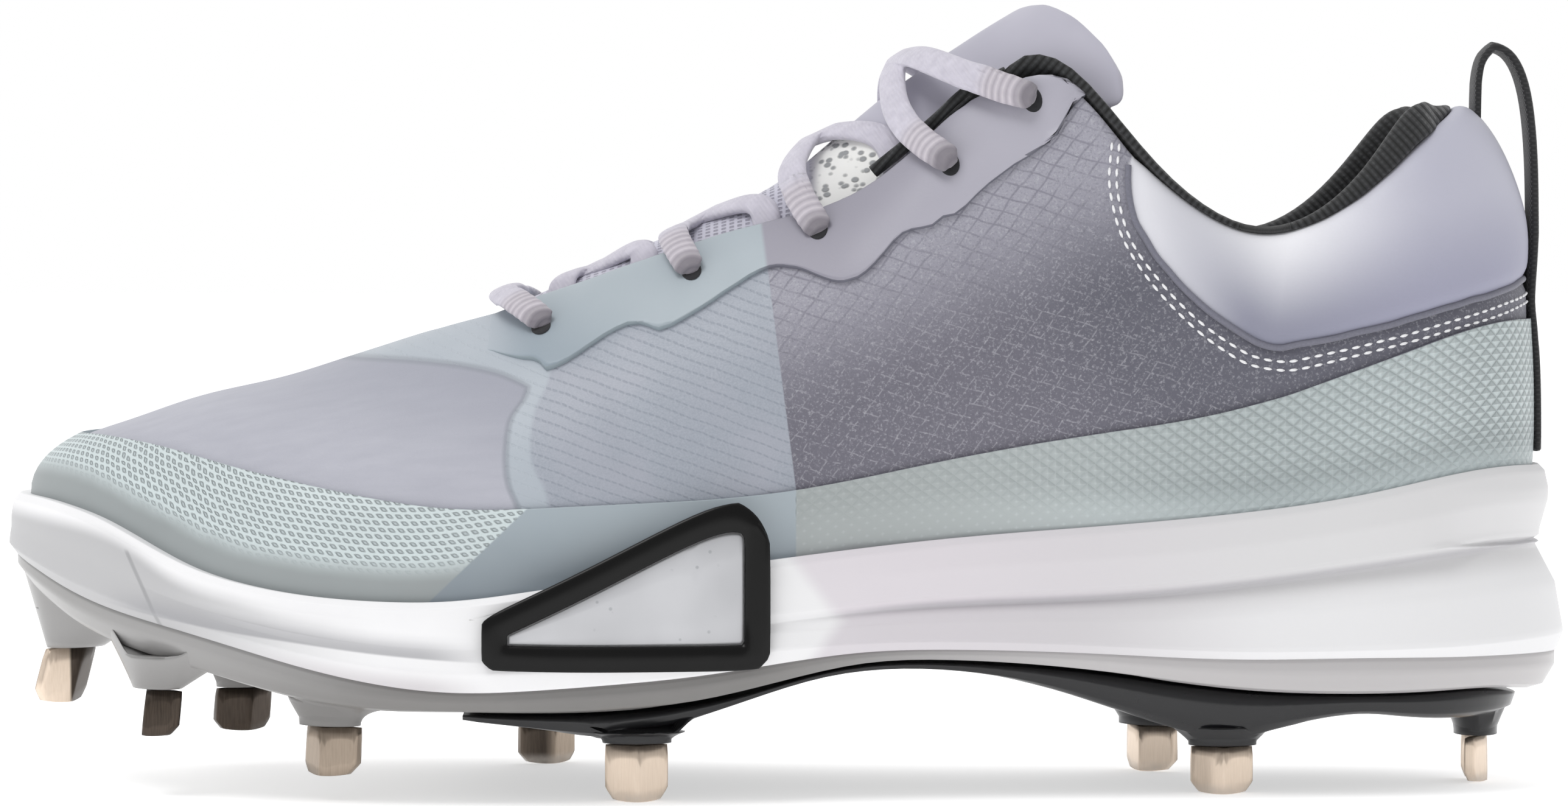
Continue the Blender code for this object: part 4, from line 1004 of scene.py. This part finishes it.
# %% [markdown]
# ### The mouths of the holes
# A dark rim of shade shows where a lace dives into its hole. Holes cut through the copies would open onto
# their inner faces, so a thin dark lens of painted shadow lies on the overlay at each mouth instead.

# %% Painted shadow where the laces dive in
SHADOW_LENS = (1.9, 2.6, 0.3)  # half sizes of a lens, in millimetres
SHADOW_SHIFT, SHADOW_LIFT = 0.4, 1.0  # its share of the lace end's shift, and its height on the fabric
SLOPE = Vector((1, 0, 0.35))  # how the row of holes climbs

# each dark lens below is painted shadow at a hole's mouth
hole_shadows = bmesh.new()
for _, _, reaches in LACES.values():
    for mouth, shift in mouths(reaches):
        _, spot, normal = height_on_upper(mouth + shift * SHADOW_SHIFT)
        out = Vector(normal)
        side = SLOPE.cross(out).normalized()
        place = stamp(spot + normal * SHADOW_LIFT, (side.cross(out), side, out), SHADOW_LENS)
        bmesh.ops.create_uvsphere(hole_shadows, u_segments=24, v_segments=12, radius=1, matrix=place)
shade = thread_finish("pocket_shade", (0.01, 0.01, 0.012), (0.02, 0.02, 0.024), 0.9)
finish_piece(piece_from(hole_shadows, "lace_hole_shadows"), "black_knit", shade)

# %% [markdown]
# ### The throat's black edge
# A thin black roll shows along the throat between the top laces. The lining's solid ends above
# it, so each side gets a round cord along a short line. A strip of fabric would need an edge.

# %% Black cord along the throat
THROAT = [  # x, y on the near side, y on the far side, z
    (16.5, -19.4, 10.6, 115), (22, -20.2, 11.4, 119.4), (28, -20.8, 12.4, 124.4),
    (34, -22, 14, 129.8), (41, -23.4, 15.6, 133.2),
]
THROAT_RADIUS = 1.25
for side_name, column in (("near", 1), ("far", 2)):
    route = smooth_line([(spot[0], spot[column], spot[3]) for spot in THROAT], 60)
    finish_piece(tube(f"throat_cord_{side_name}", route, THROAT_RADIUS), "black_knit", knit)


# %% [markdown]
# ## Sole: foam, pale plate, black plate and studs
# The moulded parts have crisp edges, so their copies keep a strong crease there and round only
# the curves between. The foam has a fine skin, the plates are glossy plastic.

# %% Sole finishes
def moulded_finish(name, dark, light, rough, coat=0.0, grain_depth=0.03, grain_size=0.8, shine=0.5):
    f = Finish(name, Coat_Weight=coat, Coat_Roughness=0.12, Specular_IOR_Level=shine)
    point = f.place()[0]
    soft, grain = f.noise(point, 22, 3), f.noise(point, grain_size, 2)
    colour = f.mix(soft, dark, light)
    return f.show(Base_Color=colour, Roughness=rough + grain * 0.08, Normal=f.bump(grain, grain_depth, 0.5))


CREASE_LINE = [  # x, height: the crease that runs forward from the heel
    (-30, 31.8), (-6, 32.7), (9, 34.4), (29.5, 36.1), (56, 37), (82.6, 39.3), (106, 42.4), (124, 44.7),
    (139, 45.9), (150, 45.6),
]
LEDGE_LINE = [(-126, 36.5), (-112.7, 33.7), (-88, 30), (-65, 27.3), (-48, 26.3)]


def foam_finish():
    f = Finish("foam_skin", Coat_Weight=0.08, Coat_Roughness=0.3)
    point, x, y, z = f.place()
    soft, grain = f.noise(point, 22, 3), f.noise(point, 0.8, 2)
    colour = f.mix(soft, (0.84, 0.835, 0.85), (0.92, 0.92, 0.93))
    colour = f.mix(x.step(-20, 60), colour, (0.68, 0.675, 0.685))
    # the toe, grey below its bright lip, with the bumper's edge
    below = f.curve(x, RIM_LINE[::2]) - z
    colour = f.mix(below.step(1.5, 5) * x.step(-70, -115) * 0.9, colour, (0.44, 0.44, 0.45))
    bumper = (x + 120.3 - (45.3 - z) * 0.5).math("ABSOLUTE").step(0.6, 0.15) * z.step(31, 33) * z.step(46, 45)
    colour = f.mix(bumper * 0.5, colour, (0.22, 0.22, 0.23))
    # the soft ledge of the forefoot: painted shade in a dark band just above its line, then greyer below
    under = f.curve(x, LEDGE_LINE) - z
    reach = x.step(-128, -114) * x.step(-50, -66)
    colour = f.mix(under.step(-4.5, 0) * under.step(0.5, 0) * reach * 0.75, colour, (0.34, 0.34, 0.36))
    colour = f.mix(under.step(1.5, 6) * reach * 0.75, colour, (0.56, 0.53, 0.55))
    # the crease from the heel and the facet behind the window: brighter below the crease at the heel, painted shade
    # on the facet with less of it above the crease, and painted shade along the crease
    drop = f.curve(x, CREASE_LINE) - z
    facet = (x - 9.6 + (z - 33.3).math("ABSOLUTE") * 0.75).step(-1.5, 3)
    shade = facet * x.step(100, 12)
    colour = f.mix(drop.step(1.5, 6) * x.step(50, 90) * 0.6, colour, (0.88, 0.88, 0.895))
    colour = f.mix(shade * 0.5, colour, (0.52, 0.46, 0.52))
    colour = f.mix(shade * drop.step(0.2, -0.6) * 0.25, colour, (0.86, 0.80, 0.85))
    colour = f.mix(drop.math("ABSOLUTE").step(1.2, 0.1) * x.step(2, 26) * 0.45, colour, (0.42, 0.41, 0.44))
    return f.show(Base_Color=colour, Roughness=0.42 + grain * 0.1, Normal=f.bump(grain, 0.05, 0.4))


def pale_finish():
    f = Finish("pale_plate_gloss", Coat_Weight=0.2, Coat_Roughness=0.12)
    point, x, y, z = f.place()
    soft, grain = f.noise(point, 18, 3), f.noise(point, 0.8, 2)
    colour = f.mix(soft, (0.165, 0.16, 0.155), (0.22, 0.213, 0.208))
    colour = f.mix(x.step(-10, 60), colour, (0.48, 0.465, 0.47))
    colour = f.mix(z.step(16, 30) * x.step(-60, -90) * 0.6, colour, (0.42, 0.415, 0.415))
    return f.show(Base_Color=colour, Roughness=0.33 + grain * 0.08, Normal=f.bump(grain, 0.03, 0.5))


foam, pale = foam_finish(), pale_finish()
black = moulded_finish(
    "black_plate_gloss", (0.006, 0.006, 0.007), (0.012, 0.012, 0.014), 0.25,
    coat=0.2, grain_depth=0.02, grain_size=2.0, shine=0.4,
)

PLATE_LAP = 0.35  # how far the pale plate's top is pressed into the foam
HEEL_TAPER, TAPER_TOP, TAPER_FOOT = 2.0, 56, 45.8  # how far the band above the heel's crease leans in, and where
midsole = smooth_copy("midsole", "foam_midsole", 3, sharp=40, crease=1.0, rings=9)
points, x, y, z = columns(midsole)
band = ramp(z, TAPER_TOP, -8) * ramp(z, TAPER_FOOT, 0.5) * ramp(x, 108, 24)
away = points[:, :2] - (HEEL_CENTRE, 0)
radius = np.maximum(np.linalg.norm(away, axis=1), 1)
points[:, :2] -= away * (HEEL_TAPER * band * ramp(radius, 44, 4) / radius)[:, None]
move_points(midsole, points)
finish_piece(midsole, "white_foam", foam, stands_for=["midsole"])
under = smooth_copy("sole_frame", "pale_sole_plate", 2, sharp=40, crease=1.0, rings=9)
points, normals = points_of(under), normals_of(under)
points[:, 2] += PLATE_LAP * (normals[:, 2] > 0.3)
move_points(under, points)
finish_piece(under, "pale_plastic", pale, stands_for=["sole_frame"])
plate = dress("traction_plate", "black_plate", "black_plastic", black, sharp=40, crease=0.85, rings=12)


# %% [markdown]
# ### Feet round the studs
# Each stud stands in a moulded foot that flares into its plate. It could be joined to the plate
# and blended, but then the plate's copy would lose its clean faces. Each flare is a can whose wall
# is bent, from the stud to where the plate's own skin is found.

# %% Flared feet round the studs
SKIRTS = {  # x, y, turn in degrees, heights of foot and plate, the flare's half length and half width
    1: (-135.1, 7.4, 48, 25.0, 33, 14, 11), 2: (-115.1, -30.2, -58, 20.2, 27, 14, 11),
    3: (-105.3, 35, 30, 15.2, 24, 15, 12), 4: (-82.9, -36.6, -32, 13.9, 19.5, 16, 12),
    5: (-46, 35, 26, 8.7, 14, 13, 9), 6: (-26.8, -38.2, 4, 10.8, 15, 13, 8),
    7: (70.2, 20.1, -44, 9.1, 15.5, 13, 10), 8: (81.1, -23.9, 2, 9.1, 16, 14, 10),
    9: (131, 0, 86, 9.1, 15.5, 11, 7.5),
}
FOOT_LONG, FOOT_WIDE, FLARE_SIDES, FLARE_CUTS = 6.3, 4.1, 48, 9
AIM_BELOW, SKIN_DEPTH, TOE_DEPTH = 1.5, 0.15, 1.8  # below the plate's height, and inside its skin
TOE_STUDS = (1, 2)  # here the plate rises to the toe, so their flares are long and nearly straight
STRAIGHTNESS, SMOOTHINGS = 0.45, 4  # how much these lean to their landing, and passes that even it out
BOSS_ROOT, BOSS_RIMS = (9.5, 6), {1: 32.4, 2: 25.9}  # the solid's own bosses there
BOSS_NARROW = 0.3  # the share by which they are drawn in under the flares


def landing(tree, far, plate_height):
    """Where a flare that aims at far meets the plate, a little inside its skin."""
    near, normal = nearest(tree, (far[0], far[1], plate_height - AIM_BELOW))
    return near - normal * SKIN_DEPTH


def landing_above(tree, centre, far):
    """Where the toe's rising plate lies above far, or above the farthest place that it covers."""
    for share in np.linspace(1, 0.72, 8):
        spot = centre + (far - centre) * share
        found = tree.ray_cast(Vector(spot) * MM, Vector((0, 0, 1)))[0]
        if found:
            return np.array(found) / MM + (0, 0, TOE_DEPTH)
    return landing(tree, far, far[2] + 6)


def skirt(number, tree, x, y, turn, foot, plate_height, long, wide):
    """A can whose wall is bent into a hollow flare from the stud's foot to the plate."""
    mesh = bmesh.new()
    bmesh.ops.create_cone(mesh, cap_ends=True, segments=FLARE_SIDES, radius1=1, radius2=1, depth=1)
    walls = [edge for edge in mesh.edges if abs(edge.verts[0].co.z - edge.verts[1].co.z) > 0.5]
    bmesh.ops.subdivide_edges(mesh, edges=walls, cuts=FLARE_CUTS)
    turned, centre = Matrix.Rotation(math.radians(turn), 3, "Z"), np.array((x, y, foot))
    at_toe = number in TOE_STUDS
    lands = []
    for angle in np.arange(FLARE_SIDES) * 2 * np.pi / FLARE_SIDES:
        far = np.array(turned @ Vector((math.cos(angle) * long, math.sin(angle) * wide, 0))) + centre
        lands.append(landing_above(tree, centre, far) if at_toe else landing(tree, far, plate_height))
    for _ in range(SMOOTHINGS if at_toe else 0):
        lands = [(lands[i - 1] + 2 * lands[i] + lands[(i + 1) % FLARE_SIDES]) / 4 for i in range(FLARE_SIDES)]
    for vert in mesh.verts:
        across, up = vert.co.copy(), vert.co.z + 0.5
        key = round(math.atan2(across.y, across.x) / (2 * math.pi) * FLARE_SIDES) % FLARE_SIDES
        near = np.array(turned @ Vector((across.x * FOOT_LONG, across.y * FOOT_WIDE, 0))) + centre
        corner = np.array((near[0], near[1], lands[key][2]))
        if at_toe:
            corner = near * (1 - STRAIGHTNESS) + lands[key] * STRAIGHTNESS
        vert.co = Vector((1 - up) ** 2 * near + 2 * up * (1 - up) * corner + up**2 * lands[key]) * MM
    bmesh.ops.recalc_face_normals(mesh, faces=mesh.faces)
    return piece_from(mesh, f"stud_skirt_{number}")


points = points_of(under)
for number in TOE_STUDS:
    x, y, turn, foot, rim_top = *SKIRTS[number][:4], BOSS_RIMS[number]
    turned = np.array(Matrix.Rotation(math.radians(turn), 2))
    flat = points[:, :2] - (x, y)
    reach = np.linalg.norm(flat @ turned / BOSS_ROOT, axis=1)
    climb = ramp(points[:, 2], foot + 1.5, rim_top - foot - 1.5)
    narrow = BOSS_NARROW * climb * (reach < 1.08) * (points[:, 2] < rim_top + 0.2)
    points[:, :2] -= flat * narrow[:, None]
move_points(under, points)
on_pale, on_black = (skin_tree(under), "pale_plastic", pale), (skin_tree(plate), "black_plastic", black)
for number, sizes in SKIRTS.items():
    tree, slot, plastic = on_pale if number < 5 else on_black
    finish_piece(skirt(number, tree, *sizes), slot, plastic)


# %% Studs
def steel_finish():
    f = Finish("stud_steel", Metallic=1.0, Coat_Weight=0.1)
    point, x, y, z = f.place()
    brushed = f.noise(f.stretched(point, 3.0, 3.0, 0.25), 1.0, 3)
    worn = f.noise(point, 3, 3)
    light = f.mix(brushed, (0.66, 0.54, 0.43), (0.84, 0.71, 0.59))
    steel_half_lit = f.mix(brushed, (0.26, 0.212, 0.168), (0.46, 0.375, 0.30))
    dark = f.mix(brushed, (0.035, 0.028, 0.023), (0.10, 0.078, 0.062))
    # the studs are one steel: the light, middle and dark tones below, set stud by stud and on the left of stud 8, are
    # painted reflection and shade
    colour = f.mix(x.step(-62, -46), steel_half_lit, f.mix(x.step(-47, -44.5), dark, steel_half_lit))
    colour = f.mix(x.step(-40, -30), colour, light)
    colour = f.mix(x.step(-95, -98), colour, dark)
    colour = f.mix(x.step(-135.6, -136.2), colour, light)
    colour = f.mix(x.step(75, 76) * x.step(80, 78) * 0.6, colour, steel_half_lit)
    colour = f.mix(z.step(2.5, 0.5) * worn, colour, (0.50, 0.46, 0.42))
    return f.show(Base_Color=colour, Roughness=0.26 + brushed * 0.16, Normal=f.bump(brushed, 0.02, 0.4))


steel = steel_finish()
for number in SKIRTS:
    dress(f"stud_{number}", f"steel_blade_{number}", "stud_steel", steel, sharp=25, crease=0.85)


# %% [markdown]
# ## Window and pull loop
# The window is a glossy black rim round a pale, flecked pane. The pull loop is black webbing.

# %% Window and loop
def pane_finish():
    f = Finish("window_pane_film", Coat_Weight=0.6, Coat_Roughness=0.08)
    point, x, y, z = f.place()
    fleck = f.cells(point, 2.6).step(0.16, 0.08)
    cloud = f.noise(point, 18, 2)
    colour = f.mix(cloud, (0.40, 0.405, 0.425), (0.66, 0.665, 0.69))
    colour = f.mix(fleck * f.noise(point, 6, 1).step(0.45, 0.6) * 0.6, colour, (0.30, 0.31, 0.33))
    return f.show(Base_Color=colour, Roughness=0.25 + cloud * 0.1)


def webbing_finish():
    f = Finish("webbing_weave", Roughness=0.75, Sheen_Weight=0.2)
    point, x, y, z = f.place()
    weave = (z + y * 0.9).wave(0.9) * (z - y * 0.9).wave(0.9)
    return f.show(Base_Color=f.mix(weave, (0.006, 0.006, 0.007), (0.05, 0.05, 0.052)), Normal=f.bump(weave, 0.2, 0.7))


rim_gloss = moulded_finish(
    "window_rim_gloss", (0.002, 0.002, 0.002), (0.004, 0.004, 0.004), 0.2,
    grain_depth=0.01, grain_size=3.0, shine=0.22,
)
dress("window_frame", "window_rim", "black_plastic", rim_gloss, sharp=40, crease=0.5)
dress("window_pane", "window_film", "window_plastic", pane_finish(), sharp=40, crease=0.9)
FRONT_BACK, FRONT_DOWN = 1.2, 10  # the loop's front leg is set back, and its end tucked down into the collar
TAIL_IN, WEB_SWELL = 1.4, 0.35  # the tail is drawn in to the heel, and the webbing made a little thicker
loop = smooth_copy("pull_loop", "heel_loop", 2, sharp=50, crease=0.6)
points, x, y, z = columns(loop)
x += FRONT_BACK * ramp(x, 131.5, -5) * ramp(z, 112, 12)
x -= TAIL_IN * ramp(z, 104, -20)
z -= FRONT_DOWN * ramp(z, 131.5, -3) * (x < 131)
move_points(loop, points + normals_of(loop) * WEB_SWELL)
finish_piece(loop, "loop_webbing", webbing_finish(), stands_for=["pull_loop"])

# %% [markdown]
# ## Studio
# A pale floor under the studs, a bright even surround and one soft light above the toe. The
# surround makes the white backdrop, and the light gives the films and the collar their modelling.

# %% Floor and lights
floor_mesh = bmesh.new()
bmesh.ops.create_grid(floor_mesh, x_segments=4, y_segments=4, size=12)
floor = piece_from(floor_mesh, "floor")
paper = Finish("floor_paper", Base_Color=(0.93, 0.93, 0.93, 1), Roughness=0.9, Emission_Color=(1, 1, 1, 1))
paper.shader.inputs["Emission Strength"].default_value = 0.5
floor.data.materials.append(paper.material)

FRONT_LIGHT, BACK_LIGHT, TURN_RANGE = 0.5, 1.0, (-0.35, 0.25)  # the surround brightens over this range of Y
world = bpy.data.worlds.new("studio")
world.use_nodes = True
background = next(n for n in world.node_tree.nodes if n.type == "BACKGROUND")
background.inputs["Color"].default_value = (1, 1, 1, 1)
sky = world.node_tree.nodes
way = sky.new("ShaderNodeTexCoord")
parts = sky.new("ShaderNodeSeparateXYZ")
turn = sky.new("ShaderNodeMapRange")
for socket, value in zip(list(turn.inputs)[1:5], (*TURN_RANGE, FRONT_LIGHT, BACK_LIGHT)):
    socket.default_value = value
world.node_tree.links.new(way.outputs["Generated"], parts.inputs[0])
world.node_tree.links.new(parts.outputs["Y"], turn.inputs[0])
world.node_tree.links.new(turn.outputs[0], background.inputs["Strength"])
bpy.context.scene.world = world


key = bpy.data.lights.new("key", "AREA")
key.shape, key.size, key.energy = "DISK", 0.6, 5
aim(linked("key", key), (-0.35, -0.45, 1.1), (0, 0, 0.06))
bpy.context.scene.view_settings.view_transform = "Standard"
print("studio ready")
